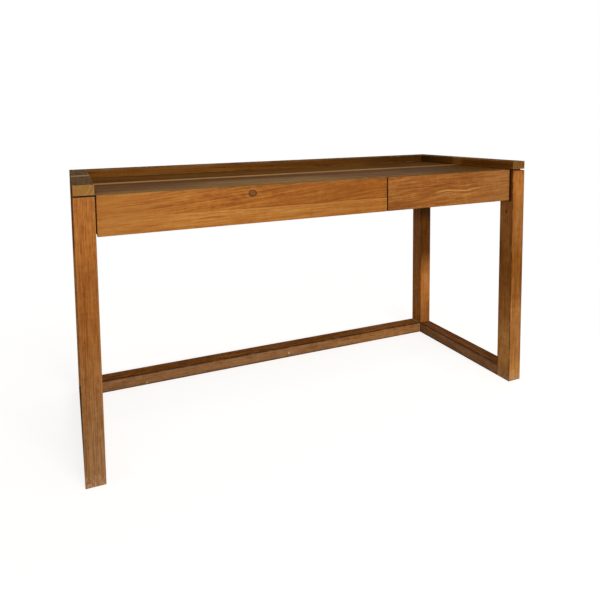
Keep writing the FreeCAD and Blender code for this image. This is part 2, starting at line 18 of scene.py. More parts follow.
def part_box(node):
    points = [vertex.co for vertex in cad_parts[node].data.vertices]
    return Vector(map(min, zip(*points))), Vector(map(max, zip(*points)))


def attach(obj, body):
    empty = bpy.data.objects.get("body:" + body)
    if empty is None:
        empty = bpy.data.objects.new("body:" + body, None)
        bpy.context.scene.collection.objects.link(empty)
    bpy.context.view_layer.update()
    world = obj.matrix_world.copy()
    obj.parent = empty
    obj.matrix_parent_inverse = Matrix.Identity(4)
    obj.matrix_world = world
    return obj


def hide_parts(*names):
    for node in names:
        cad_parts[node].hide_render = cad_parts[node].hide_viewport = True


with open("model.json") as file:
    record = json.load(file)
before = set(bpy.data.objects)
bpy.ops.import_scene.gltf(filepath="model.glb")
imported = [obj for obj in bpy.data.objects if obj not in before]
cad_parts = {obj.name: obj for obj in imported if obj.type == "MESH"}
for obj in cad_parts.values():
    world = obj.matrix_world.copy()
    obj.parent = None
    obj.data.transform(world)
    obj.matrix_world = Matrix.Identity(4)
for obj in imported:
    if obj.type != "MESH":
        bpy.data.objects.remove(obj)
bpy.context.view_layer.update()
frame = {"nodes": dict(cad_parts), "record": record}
nodes = frame["nodes"]
scene = bpy.context.scene
scene.view_settings.view_transform = "Standard"
MM = 0.001

# %% [markdown]
# ## Camera
#
# The photograph was taken from the desk's left front, a little above the top, and then cropped. A
# camera was fitted to the straight edges of the legs and rails. Its three axes are the rows of a
# turn, and the crop becomes a lens shift, so that upright legs lean just as they do in the picture.

# %% Camera
PICTURE_SIZE = 600
SENSOR = 36
FOCAL_PIXELS = 498.898
CENTRE_PIXEL = (247.493, 164.174)
EYE = Vector((-0.72519, -1.48096, 0.87981))
RIGHT = Vector((0.93764, -0.34713, -0.01827))
DOWN = Vector((-0.04306, -0.06383, -0.99703))
AHEAD = Vector((0.34494, 0.93564, -0.07480))

lens = bpy.data.cameras.new("photo_camera")
lens.sensor_width = SENSOR
lens.lens = FOCAL_PIXELS / PICTURE_SIZE * SENSOR
lens.shift_x = 0.5 - CENTRE_PIXEL[0] / PICTURE_SIZE
lens.shift_y = CENTRE_PIXEL[1] / PICTURE_SIZE - 0.5
camera = bpy.data.objects.new("photo_camera", lens)
camera.matrix_world = Matrix.Translation(EYE) @ Matrix((RIGHT, -DOWN, -AHEAD)).transposed().to_4x4()
scene.collection.objects.link(camera)
scene.camera = camera
print(f"lens {lens.lens:.1f} mm, shift {lens.shift_x:.3f} and {lens.shift_y:.3f}")

# %% [markdown]
# ## Small helpers
#
# Every material below is a tree of nodes. One function adds a node: it takes the node's settings, its
# inputs, which are numbers or other nodes to link from, and the stops of a colour ramp. Another turns
# a colour as a screen shows it into the linear values that light is worked out with. A third makes
# masks, which are 1 where a mark lies on the wood and 0 elsewhere. Most marks lie within a span of
# places, or of ways that a face looks, so a mask is a product of such spans.

# %% Node and colour helpers
MATH = "ShaderNodeMath"
VECTOR = "ShaderNodeVectorMath"
NOISE = "ShaderNodeTexNoise"
# A range takes a value, the low and high that it comes from, and the low and high that it goes to.
RANGE = "ShaderNodeMapRange"
RAMP = "ShaderNodeValToRGB"
SPLIT = "ShaderNodeSeparateXYZ"
BUILD = "ShaderNodeCombineXYZ"


def add(tree, kind, settings=None, inputs=(), stops=()):
    """Adds a node and returns the socket it gives. Settings may be an operation, and inputs in order."""
    node = tree.nodes.new(kind)
    if isinstance(settings, str):
        settings = {"operation": settings}
    for name, value in (settings or {}).items():
        setattr(node, name, value)
    for number, (place, colour) in enumerate(stops):
        elements = node.color_ramp.elements
        element = elements[number] if number < 2 else elements.new(place)
        element.position = place
        element.color = colour
    for name, value in inputs.items() if isinstance(inputs, dict) else enumerate(inputs):
        if isinstance(value, bpy.types.NodeSocket):
            tree.links.new(value, node.inputs[name])
        else:
            node.inputs[name].default_value = value
    given = [socket for socket in node.outputs if socket.enabled]
    return given[0] if given else node


def linear(code):
    """A colour written as six hex digits, as linear red, green, blue and alpha."""
    shares = [int(code[place:place + 2], 16) / 255 for place in (0, 2, 4)]
    return tuple(s / 12.92 if s <= 0.04045 else ((s + 0.055) / 1.055) ** 2.4 for s in shares) + (1.0,)


print("teak brown in linear light:", [round(share, 3) for share in linear("a5652b")])

# %% Mask helpers
def here(tree):
    """The place on the piece, in metres in the desk's frame."""
    return tree.nodes.new("ShaderNodeTexCoord").outputs["Object"]


def read(tree, what):
    """The place along X, Y or Z, or with facing how far a face looks that way. Either drops the sign."""
    *words, letter = what.split()
    vector = tree.nodes.new("ShaderNodeTexCoord").outputs["Normal"] if "facing" in words else here(tree)
    value = add(tree, SPLIT, {}, (vector,)).node.outputs["XYZ".index(letter)]
    return add(tree, MATH, "ABSOLUTE", (value,)) if "either" in words else value


def mask(tree, *parts):
    """The product of numbers, sockets and spans. A span rises from 0 at its start to 1 at its end."""
    product = 1.0
    for part in parts:
        if isinstance(part, tuple):
            what, start, end = part
            value = read(tree, what) if isinstance(what, str) else what
            part = add(tree, RANGE, {"interpolation_type": "SMOOTHSTEP"}, (value, start, end))
        product = add(tree, MATH, "MULTIPLY", (product, part))
    return product


print("a span has what is read, a start and an end")

# %% [markdown]
# ## Studio
#
# The picture has a plain white ground. The world is white where the camera or a reflection looks at
# it, and a softer fill where it lights the wood. The floor shows white and keeps a faint shadow. One
# narrow softbox stands high in front and lights the drawers. Three low ones at the left, behind and at
# the right light legs and rails but only graze the top, which stays as deep as in the picture.

# %% World
FILL = 0.25
WHITE = (1.0, 1.0, 1.0, 1.0)


def looked_at(tree):
    """1 for rays from the camera and in reflections, 0 for rays that carry light."""
    path = tree.nodes.new("ShaderNodeLightPath").outputs
    either = add(tree, MATH, "MAXIMUM", (path["Is Camera Ray"], path["Is Glossy Ray"]))
    return add(tree, MATH, "MAXIMUM", (either, path["Is Transmission Ray"]))


world = bpy.data.worlds.new("white_studio")
world.use_nodes = True
scene.world = world
tree = world.node_tree
tree.nodes.clear()
fill = add(tree, "ShaderNodeBackground", {}, {"Color": linear("fbf7f0"), "Strength": FILL})
ground = add(tree, "ShaderNodeBackground", {}, {"Color": WHITE, "Strength": 1.0})
sky = add(tree, "ShaderNodeMixShader", {}, (looked_at(tree), fill, ground))
add(tree, "ShaderNodeOutputWorld", {}, {"Surface": sky})
print("fill", FILL)

# %% Floor
FLOOR_REACH = 14.0
FLOOR_DROP = 0.4 * MM
SHADOW_REACH = (0.7, 1.7)
SHADOW_GLOW = 0.80


def new_material(name):
    """An empty material and its tree."""
    material = bpy.data.materials.new(name)
    material.use_nodes = True
    material.node_tree.nodes.clear()
    return material, material.node_tree


corners = [(x * FLOOR_REACH, y * FLOOR_REACH, -FLOOR_DROP) for x, y in ((-1, -1), (1, -1), (1, 1), (-1, 1))]
floor_mesh = bpy.data.meshes.new("studio_floor")
floor_mesh.from_pydata(corners, [], [(0, 1, 2, 3)])
floor = bpy.data.objects.new("studio_floor", floor_mesh)
scene.collection.objects.link(floor)

# White paint, rolled: it lights the desk as grey paint would, shows white far off, and greys near the desk.
paint, tree = new_material("white_floor_paint")
plain = add(tree, "ShaderNodeBsdfDiffuse", {}, {"Color": linear("84827e")})
shade = add(tree, "ShaderNodeBsdfDiffuse", {}, {"Color": linear("b0b0b0")})
glow = add(tree, "ShaderNodeEmission", {}, {"Color": WHITE, "Strength": SHADOW_GLOW})
shaded = add(tree, "ShaderNodeAddShader", {}, (shade, glow))
white = add(tree, "ShaderNodeEmission", {}, {"Color": WHITE, "Strength": 1.0})
distant = mask(tree, (add(tree, VECTOR, "LENGTH", (here(tree),)), *SHADOW_REACH))
shown = add(tree, "ShaderNodeMixShader", {}, (distant, shaded, white))
surface = add(tree, "ShaderNodeMixShader", {}, (looked_at(tree), plain, shown))
add(tree, "ShaderNodeOutputMaterial", {}, {"Surface": surface})
floor_mesh.materials.append(paint)
print("floor", 2 * FLOOR_REACH, "m wide")

# %% Softboxes
# Each has a place and the way from the desk to it, a width and a height in metres, and a power in watts.
SOFTBOXES = {
    "front_softbox": ((0.3, -3.2, 1.50), (0, -1, 0.28), 2.0, 0.26, 68),
    "left_softbox": ((-3.4, -0.5, 0.62), (-1, 0, 0), 2.4, 0.45, 9),
    "back_softbox": ((0.0, 3.2, 0.62), (0, 1, 0), 4.0, 0.45, 36),
    "right_softbox": ((3.4, 0.9, 0.62), (1, 0, 0), 2.4, 0.45, 34),
}

for name, (place, from_desk, wide, high, watts) in SOFTBOXES.items():
    lamp = bpy.data.lights.new(name, "AREA")
    lamp.shape = "RECTANGLE"
    lamp.size = wide
    lamp.size_y = high
    lamp.energy = watts
    lamp.color = linear("fff6ea")[:3]
    softbox = bpy.data.objects.new(name, lamp)
    softbox.rotation_euler = Vector(from_desk).to_track_quat("Z", "Y").to_euler()
    softbox.location = place
    scene.collection.objects.link(softbox)
print(len(SOFTBOXES), "softboxes")

# %% [markdown]
# ## How teak is drawn
#
# A board is a slice of a trunk, so its figure is best drawn as the trunk itself: rings round a pith
# line that runs along the grain, cut by the board's faces. Where a face runs nearly along the rings
# they open into flames, and on an end they show as arcs, with no seam between the faces. A group of
# nodes draws this once for all boards. Ring widths and fibres are real sizes in millimetres. Teak's
# pores are 0.2 to 0.3 mm wide, too fine for the render, so they are drawn about three times as wide.

# %% Teak grain
# Each pattern has a length along the grain and a width across it in millimetres, and a detail.
WANDER = (620, 170, 1.0)
RIPPLE = (130, 14, 2.0)
SWAYING = {"Fibre": (320, 5.5, 3.0), "Cloud": (450, 55, 2.0), "Streak": (150, 6.5, 2.0)}
STEADY = {"Fine": (110, 2.6, 4.0), "Pore": (14, 0.8, 1.0), "Curl": (9, 45, 2.0)}
CUTS = {"Pore": (0.60, 0.68), "Streak": (0.56, 0.66)}
RIPPLE_HEIGHT = 1.6 * MM
RING_LINE = ((0.0, 0.1), (0.40, 0.0), (0.72, 0.35), (0.92, 1.0), (1.0, 0.1))


def swell(tree, place, along, across, detail):
    """A noise with swells this long and wide, in millimetres, along and across the grain."""
    per_metre = (1 / (along * MM), 1 / (across * MM), 1 / (across * MM))
    stretched = add(tree, VECTOR, "MULTIPLY", (place, per_metre))
    return add(tree, NOISE, {}, {"Vector": stretched, "Scale": 1.0, "Detail": detail, "Roughness": 0.6})


def ring_lines(tree, place, given):
    """A dark line at the end of each year's ring, stronger in some years than in others."""
    across = add(tree, VECTOR, "MULTIPLY", (place, (0.0, 1.0, 1.0)))
    radius = add(tree, VECTOR, "LENGTH", (across,))
    ripple = swell(tree, given["Place"], *RIPPLE)
    radius = add(tree, MATH, "MULTIPLY_ADD", (ripple, RIPPLE_HEIGHT, radius))
    radius = add(tree, MATH, "ADD", (radius, given["Bulge"]))
    years = add(tree, MATH, "DIVIDE", (radius, given["Ring width"]))
    part = add(tree, MATH, "FRACT", (years,))
    year = add(tree, MATH, "FLOOR", (years,))
    line = add(tree, RAMP, {}, (part,), [(stop, (tone, tone, tone, 1.0)) for stop, tone in RING_LINE])
    chance = add(tree, "ShaderNodeTexWhiteNoise", {"noise_dimensions": "1D"}, {"W": year})
    return mask(tree, line, add(tree, RANGE, {}, (chance, 0.0, 1.0, 0.3, 1.0)))


def teak_grain_group():
    """Rings, fibres, pores and broad clouds of colour, for a place whose X runs along the grain."""
    tree = bpy.data.node_groups.new("teak_grain", "ShaderNodeTree")
    for label, kind in (("Place", "Vector"), ("Ring width", "Float"), ("Sway", "Float"), ("Bulge", "Float")):
        tree.interface.new_socket(label, in_out="INPUT", socket_type="NodeSocket" + kind)
    given = tree.nodes.new("NodeGroupInput").outputs
    place = given["Place"]
    wander = swell(tree, place, *WANDER).node.outputs["Color"]
    wander = add(tree, VECTOR, "SUBTRACT", (wander, (0.5, 0.5, 0.5)))
    wander = add(tree, VECTOR, "SCALE", {0: wander, "Scale": given["Sway"]})
    moved = add(tree, VECTOR, "ADD", (place, wander))
    results = {"Ring": ring_lines(tree, moved, given)}
    for start, patterns in ((moved, SWAYING), (place, STEADY)):
        for label, sizes in patterns.items():
            results[label] = swell(tree, start, *sizes)
    for label, cut in CUTS.items():
        results[label] = mask(tree, (results[label], *cut))
    end = tree.nodes.new("NodeGroupOutput")
    for label, socket in results.items():
        tree.interface.new_socket(label, in_out="OUTPUT", socket_type="NodeSocketFloat")
        tree.links.new(socket, end.inputs[label])
    return tree


teak_grain = teak_grain_group()
print("grain group with", len(teak_grain.nodes), "nodes")

# %% [markdown]
# ## From grain to a board
#
# A board's material needs to know which way its grain runs and where the pith of its tree was. The
# seven patterns are weighed into one tone, and a ramp of three browns colours it. Everything else
# that happened to a board is a colour laid over these browns by masks.

# %% Board helpers
GRAIN_ORDER = {"X": (0, 1, 2), "Y": (1, 2, 0), "Z": (2, 0, 1)}
# How much each pattern lightens the wood, and the value at which it leaves the wood as it is.
WEIGHTS = {"Ring": (-0.20, 0.2), "Fibre": (0.62, 0.5), "Fine": (0.85, 0.5), "Pore": (-0.30, 0.1),
           "Cloud": (0.60, 0.5), "Curl": (0.20, 0.5), "Streak": (-0.24, 0.18)}
BROWN_STOPS = (0.12, 0.5, 0.88)
BLOTCHES = (24, 12, 2.0)


def grain_place(tree, node, grain, pith, seed, slope=0.0):
    """Place with X along the grain, measured from the pith, which lies off the board's middle."""
    low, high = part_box(node)
    order = GRAIN_ORDER[grain]
    middle = [(low[axis] + high[axis]) / 2 for axis in order]
    parts = add(tree, SPLIT, {}, (here(tree),)).node.outputs
    turned = add(tree, BUILD, {}, [parts[axis] for axis in order])
    start = (middle[0] + seed, middle[1] + pith[0] * MM, middle[2] + pith[1] * MM)
    place = add(tree, VECTOR, "SUBTRACT", (turned, start))
    lean = add(tree, MATH, "MULTIPLY", (add(tree, SPLIT, {}, (place,)), -slope))
    return add(tree, VECTOR, "ADD", (place, add(tree, BUILD, {}, {"Z": lean})))


def teak_tone(tree, place, ring, sway, gain=1.0, bulge=0.0, weights=WEIGHTS):
    """How light the wood is, and the grain's patterns, for a ring width and a sway in millimetres."""
    sizes = (place, ring * MM, sway * MM, bulge)
    grain = add(tree, "ShaderNodeGroup", {"node_tree": teak_grain}, sizes).node.outputs
    tone = 0.5
    for label, (weight, middle) in weights.items():
        off = add(tree, MATH, "SUBTRACT", (grain[label], middle))
        tone = add(tree, MATH, "MULTIPLY_ADD", (off, weight * gain, tone))
    return tone, grain


def new_board(name, node, grain_axis, pith, seed, *sizes, slope=0.0, weights=WEIGHTS):
    """A board's material and its tree, the place in its trunk, its tone and its grain's patterns."""
    material, tree = new_material(name)
    place = grain_place(tree, node, grain_axis, pith, seed, slope)
    return material, tree, place, *teak_tone(tree, place, *sizes, weights=weights)


def mottled(tree, tone, place, amount):
    """Adds the soft blotches that wavy fibres give, as long as a thumb is wide."""
    off = add(tree, MATH, "SUBTRACT", (swell(tree, place, *BLOTCHES), 0.5))
    return add(tree, MATH, "MULTIPLY_ADD", (off, amount, tone))


def browns(tree, tone, tones):
    """The three browns of a board, laid over its tone."""
    return add(tree, RAMP, {}, (tone,), [(stop, linear(code)) for stop, code in zip(BROWN_STOPS, tones)])


def laid(tree, under, over, *parts):
    """One colour laid over another by the product of a mask's parts. Each is a socket or a hex code."""
    under, over = (linear(colour) if isinstance(colour, str) else colour for colour in (under, over))
    return add(tree, "ShaderNodeMix", {"data_type": "RGBA"}, {0: mask(tree, *parts), 6: under, 7: over})


print("boards use", len(WEIGHTS), "patterns")

# %% [markdown]
# ## Oil, edges and shine
#
# Oil leaves a soft sheen, which the raised fibres break when a surface is seen at a low angle. Layer
# Weight knows that angle, so it lowers the specular level there. Each board gets a mask that is 1 along
# its arrises, worked out from the distance to the faces of its own box, and broken up by a noise. It
# darkens the edges of the aprons and fronts, where oil was rubbed in, and those of the floor rails and
# right legs, and on the left legs and the gallery rails it lays a pale painted highlight.

# %% Surface of a board
LOW_ANGLE_GLOSS = 0.0002
GLOSS_ANGLES = (0.15, 0.55)
FIBRE_SPAN = (0.3, 0.7)
FIBRE_ROUGHNESS = (0.07, -0.05)
PORE_DEPTH = -0.8
BUMP_HEIGHT = 0.4 * MM
SHARP_EDGE = 0.3 * MM
RUBBED_IN = "6a350c"


def arris_span(tree, node, width):
    """A span along the box edges of a piece, that fades at this many millimetres from them."""
    low, high = (Vector(corner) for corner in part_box(node))
    off = add(tree, VECTOR, "SUBTRACT", (here(tree), (low + high) / 2))
    away = add(tree, VECTOR, "ABSOLUTE", (off,))
    depth = add(tree, VECTOR, "SUBTRACT", ((high - low) / 2, away))
    x, y, z = add(tree, SPLIT, {}, (depth,)).node.outputs
    least = add(tree, MATH, "MINIMUM", (x, y))
    most = add(tree, MATH, "MAXIMUM", (x, y))
    other = add(tree, MATH, "MINIMUM", (most, z))
    return add(tree, MATH, "MAXIMUM", (least, other)), width * MM, SHARP_EDGE


def speckle(tree, per_metre, detail=2.0):
    """An even noise with this many swells to the metre."""
    return add(tree, NOISE, {}, {"Vector": here(tree), "Scale": per_metre, "Detail": detail})


def arris_wear_and_highlight(tree, node, colour, amount, width=3.5, shade=RUBBED_IN, broken=(0.30, 0.72)):
    """Colours the arrises unevenly: darker on most pieces, a pale painted highlight on the left legs and
    gallery rails.
    """
    return laid(tree, colour, shade, arris_span(tree, node, width), (speckle(tree, 28.0), *broken), amount)


def finish(material, colour, grain, roughness, specular=0.14, depth=0.25, low_angle=LOW_ANGLE_GLOSS):
    """Joins a colour and its grain into an oiled surface. Raised fibres break its shine at a low angle."""
    tree = material.node_tree
    rougher, smoother = (roughness + change for change in FIBRE_ROUGHNESS)
    rough = add(tree, RANGE, {}, (grain["Fine"], *FIBRE_SPAN, rougher, smoother))
    sunk = add(tree, MATH, "MULTIPLY_ADD", (grain["Pore"], PORE_DEPTH, grain["Fine"]))
    bump = add(tree, "ShaderNodeBump", {}, {"Strength": depth, "Distance": BUMP_HEIGHT, "Height": sunk})
    turned = add(tree, "ShaderNodeLayerWeight").node.outputs["Facing"]
    gloss = add(tree, RANGE, {}, (turned, *GLOSS_ANGLES, specular, low_angle))
    wood = add(tree, "ShaderNodeBsdfPrincipled", {},
               {"Base Color": colour, "Roughness": rough, "Specular IOR Level": gloss, "Normal": bump})
    add(tree, "ShaderNodeOutputMaterial", {}, {"Surface": wood})
    return material


def dress(node, material):
    """Puts a material in a solid's slot."""
    nodes[node].material_slots[0].material = material


print("oil shines over facing values up to", GLOSS_ANGLES[1])

# %% [markdown]
# ## Legs
#
# The legs are square posts with straight grain running up them. Their browns change with height, partly
# as wear near the floor and partly as painted light and shade, and each side of the right legs has browns
# of its own, which are painted light and shade. The last fingers' width above the floor is scuffed pale,
# a painted shade darkens the legs in the gap beside a drawer's front, the left legs' arrises carry a pale
# painted highlight, and a pin knot sits under the drawer on the right front leg.

# %% Leg browns
GOLDEN = ("7a4316", "ad6b31", "cb8e4c")
BRIGHT = ("834a1a", "bd7636", "d99a54")
DUSTY = ("704729", "a17043", "c4986d")
DEEP = ("5f330e", "94591f", "b47a38")
UMBER = ("6a3b16", "9f632c", "be8648")
HONEY = ("824e1e", "b87b40", "d8a567")
PALE_HONEY = ("925822", "cf8b48", "efb972")
# LIT, SHADED and DEEP_SHADE are painted light and shade, used on the right back leg.
LIT = ("99551e", "d8863f", "f5b161")
SHADED = ("3c200a", "6d3e11", "8f581f")
DEEP_SHADE = ("331b07", "5a330c", "764a18")
# A pale painted highlight along the left legs' arrises, and a dark line along the right legs' arrises.
LEG_ARRIS_HIGHLIGHT = ("c08f56", 0.5)
DARK_ARRIS = ("3a1c06", 0.8)
# Pith off the middle in millimetres, a start along the trunk, a ring width in millimetres, the arris, and
# browns by height in metres, which hold painted light and shade as well as wear.
LEGS = {
    "left_front_leg": ((86, -64), 0.31, 4.6, LEG_ARRIS_HIGHLIGHT,
                       ((0.10, DUSTY), (0.46, GOLDEN), (0.53, GOLDEN), (0.58, BRIGHT))),
    "right_front_leg": ((-95, -40), 1.37, 5.2, DARK_ARRIS, ((0.20, HONEY), (0.28, DEEP), (0.62, GOLDEN))),
    "left_back_leg": ((70, 58), 2.11, 5.0, LEG_ARRIS_HIGHLIGHT, ((0.10, DUSTY), (0.46, GOLDEN))),
    "right_back_leg": ((-60, 84), 3.53, 4.4, DARK_ARRIS, ((0.22, GOLDEN), (0.44, DEEP))),
}
# Painted light and shade: browns by height for the side that looks to the front, Y, or to the left, X.
PAINTED_LIGHT_FACE_TONES = {
    ("right_front_leg", "facing Y"): (
        (0.02, PALE_HONEY), (0.10, HONEY), (0.24, HONEY), (0.29, UMBER), (0.40, DEEP), (0.50, UMBER),
        (0.57, UMBER), (0.67, BRIGHT), (0.69, BRIGHT), (0.722, GOLDEN)),
    ("right_front_leg", "facing X"): (
        (0.02, HONEY), (0.08, PALE_HONEY), (0.15, PALE_HONEY), (0.25, GOLDEN), (0.36, DEEP), (0.62, GOLDEN)),
    ("right_back_leg", "facing Y"): (
        (0.03, GOLDEN), (0.09, BRIGHT), (0.17, LIT), (0.23, LIT), (0.27, BRIGHT), (0.355, SHADED),
        (0.465, SHADED), (0.52, DEEP_SHADE)),
    ("right_back_leg", "facing X"): (
        (0.03, DEEP), (0.09, GOLDEN), (0.18, GOLDEN), (0.30, UMBER), (0.46, UMBER), (0.56, SHADED)),
}


def by_height(tree, tone, tones):
    """Browns that change up a piece, from one height's set to the next."""
    colour = browns(tree, tone, tones[0][1])
    for (start, _), (end, upper) in zip(tones, tones[1:]):
        colour = laid(tree, colour, browns(tree, tone, upper), ("Z", start, end))
    return colour


print(len(PAINTED_LIGHT_FACE_TONES), "sides with browns of their own")

# %% Legs
LEG_WEIGHTS = {**WEIGHTS, "Ring": (-0.10, 0.2), "Streak": (-0.12, 0.18), "Fibre": (0.42, 0.5),
               "Fine": (1.30, 0.5)}
LOOKS_TO_MINUS = (-0.5, -0.9)
PIN_KNOT = ((0.660, -0.2255, 0.581), (9.0, 3.0, 8.5))
PIN_KNOT_RIM = (1.35, 0.75)
SCUFFS = (7, 2.2, 3.0)
SCUFF_CUT = (0.46, 0.60)
SCUFFED = ("Z", 0.045, 0.002)
# Painted shade on the legs' inner faces in the gap beside the drawer fronts.
# A shade, the spans in which it lies, and its amount.
GAP_SHADE = ("2a1608", ("Y", -0.2520, -0.2390), ("either X", 0.672, 0.664), ("Z", 0.612, 0.620), 0.9)


def knot_distance(tree, centre, reach):
    """Distance from a knot's middle, where 1 is its rim, for a reach in millimetres along each axis."""
    off = add(tree, VECTOR, "SUBTRACT", (here(tree), centre))
    shaped = add(tree, VECTOR, "DIVIDE", (off, [length * MM for length in reach]))
    length = add(tree, VECTOR, "LENGTH", (shaped,))
    return add(tree, MATH, "MULTIPLY_ADD", (speckle(tree, 160.0), 0.35, length))


def leg_wood(node, pith, seed, ring, arris, tones):
    """Teak, planed and oiled: straight fine grain with a soft sheen, duller and paler near the floor."""
    material, tree, place, tone, grain = new_board(
        f"oiled_teak_{node}", node, "Z", pith, seed, ring, 16, 0.85, weights=LEG_WEIGHTS)
    tone = mottled(tree, tone, place, 0.4)
    colour = by_height(tree, tone, tones)
    # Painted light and shade: each side of the right legs gets browns of its own by height.
    for (owner, way), face_tones in PAINTED_LIGHT_FACE_TONES.items():
        if owner == node:
            colour = laid(tree, colour, by_height(tree, tone, face_tones), (way, *LOOKS_TO_MINUS))
    if node == "right_front_leg":
        colour = laid(tree, colour, "241004", (knot_distance(tree, *PIN_KNOT), *PIN_KNOT_RIM), 0.9)
    colour = laid(tree, colour, "d6b48e", SCUFFED, (swell(tree, place, *SCUFFS), *SCUFF_CUT), 0.85)
    # Painted shade in the gap beside a drawer's front.
    colour = laid(tree, colour, *GAP_SHADE)
    # The arris colour: a pale painted highlight on the left legs, a dark line on the right legs.
    shade, amount = arris
    colour = arris_wear_and_highlight(tree, node, colour, amount, 4.0, shade, (0.2, 0.6))
    dress(node, finish(material, colour, grain, 0.46, specular=0.06, low_angle=0.0))


for node, row in LEGS.items():
    leg_wood(node, *row)
print(len(LEGS), "legs")

# %% [markdown]
# ## Rails on the floor
#
# The floor rails and the stretcher are the pieces that feet rest on. They are a little pinker than the
# legs, their upright sides are paler than their tops, which is painted light, and they are darker in
# clouds along their lower edge. Two small chips show pale wood on the stretcher's face, its right end is
# the colour of honey, and a smear of glue has dried pale where it meets the right back leg.

# %% Floor rails
FLOOR_TONES = ("543110", "804c1f", "a6703c")
RED_FLOOR_TONES = ("583018", "84512c", "a67549")
# Way of the grain, pith, start along the trunk, ring width, browns, and how much paler the upright sides are,
# as painted light.
FLOOR_RAILS = {
    "left_floor_rail": ("Y", (40, -70), 0.83, 4.8, RED_FLOOR_TONES, 0.4),
    "right_floor_rail": ("Y", (-64, -52), 1.91, 4.4, RED_FLOOR_TONES, 0.4),
    "back_stretcher": ("X", (66, -48), 2.77, 4.8, FLOOR_TONES, 0.6),
}
UPRIGHT = ("facing Z", 0.7, 0.3)
NEAR_FLOOR = ("Z", 0.012, 0.0)
LOW_EDGE_CLOUDS = (0.35, 0.6)
CHIPS = (((-0.4893, 0.2, 0.0075), 0.0026), ((0.0493, 0.2, 0.0165), 0.0042))
HONEY_END = ("X", 0.05, 0.55)
GLUE_SMEAR = ("cfae86", ("X", 0.6530, 0.6560), 0.75)


def stretcher_marks(tree, tone, colour):
    """A honey brown towards the right end, two chips and the dried glue."""
    # The honey brown is stronger on the upright sides, as painted light.
    amount = add(tree, RANGE, {}, (mask(tree, UPRIGHT), 0.0, 1.0, 0.35, 0.7))
    colour = laid(tree, colour, browns(tree, tone, HONEY), HONEY_END, amount)
    for centre, reach in CHIPS:
        off = add(tree, VECTOR, "DISTANCE", (here(tree), centre))
        colour = laid(tree, colour, "e6cfae", (off, reach * 1.3, reach * 0.5), 0.9)
    return laid(tree, colour, *GLUE_SMEAR)


def floor_wood(node, grain_axis, pith, seed, ring, tones, side_light_amount):
    """Teak, planed and oiled: upright sides paler with painted light, dark edges, darker clouds along the
    lower edge.
    """
    material, tree, place, tone, grain = new_board(
        f"oiled_teak_{node}", node, grain_axis, pith, seed, ring, 18, weights=LEG_WEIGHTS)
    tone = mottled(tree, tone, place, 0.7)
    painted_side_light = laid(tree, "8a5a34", "d2a273", tone)
    # Painted light: the upright sides are paler than the tops.
    colour = laid(tree, browns(tree, tone, tones), painted_side_light, UPRIGHT, side_light_amount)
    colour = laid(tree, colour, "4f3018", NEAR_FLOOR, (grain["Cloud"], *LOW_EDGE_CLOUDS), 0.55)
    if node == "back_stretcher":
        colour = stretcher_marks(tree, tone, colour)
    colour = arris_wear_and_highlight(tree, node, colour, 0.95, 6.0, "241005", (0.1, 0.45))
    dress(node, finish(material, colour, grain, 0.48))


for node, row in FLOOR_RAILS.items():
    floor_wood(node, *row)
print(len(FLOOR_RAILS), "rails on the floor")

# %% [markdown]
# ## Gallery rails and aprons
#
# The gallery's side rails run the whole depth, so their front ends show end grain: arcs of rings round
# a pith just outside the stick. A mask from the surface's own direction finds the ends, gives them a
# brown of their own and draws the arcs paler. Both side rails have a pale mark of painted light in line
# with the pale stave of the top, and painted shade darkens the far right corner, along the back rail's
# right part and the right rail's back part. The aprons are hidden from the front but close the back and
# sides.

# %% Gallery and aprons
SMOOTH_WEIGHTS = {**WEIGHTS, "Fine": (0.30, 0.5), "Pore": (-0.06, 0.1)}
PALE_RAIL_TONES = ("482e13", "735024", "94703c")
DARK_RAIL_TONES = ("4a2807", "844e15", "aa712f")
RAIL_TONES = ("4f2c0c", "854f1e", "a9743a")
RED_RAIL_TONES = ("4e2a08", "794913", "996828")
# Way of the grain, pith, start along the trunk, ring width, browns, brown of the ends, and amount of arcs.
RAILS = {
    "left_gallery_rail": ("Y", (14, -12), 0.47, 10.6, PALE_RAIL_TONES, "ca914a", 0.5),
    "right_gallery_rail": ("Y", (16, 14), 1.23, 9.0, DARK_RAIL_TONES, "7c5c30", 0.2),
    "back_gallery_rail": ("X", (40, -62), 2.39, 4.6, RED_RAIL_TONES, "96662e", 0.4),
    "left_side_apron": ("Y", (30, 95), 3.71, 5.0, RAIL_TONES, "6b4420", 0.4),
    "right_side_apron": ("Y", (-30, -95), 4.43, 5.2, RAIL_TONES, "6b4420", 0.4),
    "back_apron": ("X", (30, 85), 5.17, 5.4, RAIL_TONES, "6b4420", 0.4),
}
# Painted light and shade on the gallery rails: a pale stripe of light where the stave's line crosses the side
# rails, and painted shade darkening the far right corner.
RAIL_PAINTED_LIGHT_AND_SHADE = {
    "left_gallery_rail": [("e6b676", ("either Y", 0.025, 0.0075), ("facing X", -0.8, -0.4), 0.9)],
    "right_gallery_rail": [("301804", ("Y", -0.10, 0.20), 0.7),
                           ("b9843f", ("either Y", 0.034, 0.0102), ("facing X", 0.8, 0.4), 0.35)],
    "back_gallery_rail": [("381e05", ("X", -0.3, 0.68), 0.75)],
}
# Pale painted highlight along the gallery rails' arrises.
RAIL_ARRIS_HIGHLIGHT = "b3905f"
RAIL_SHINE = 0.0005
LOOKS_UP = ("facing Z", 0.5, 0.9)


def end_grain(grain_axis):
    """The span of faces cut across the grain."""
    return f"either facing {grain_axis}", 0.6, 0.9


def cut_ends(tree, grain_axis, grain, colour, shade, arc_amount):
    """Colours the faces cut across the grain and draws the rings on them as paler arcs."""
    colour = laid(tree, colour, shade, end_grain(grain_axis), 0.55)
    return laid(tree, colour, "d6ab68", end_grain(grain_axis), (grain["Ring"], 0.2, 0.8), arc_amount)


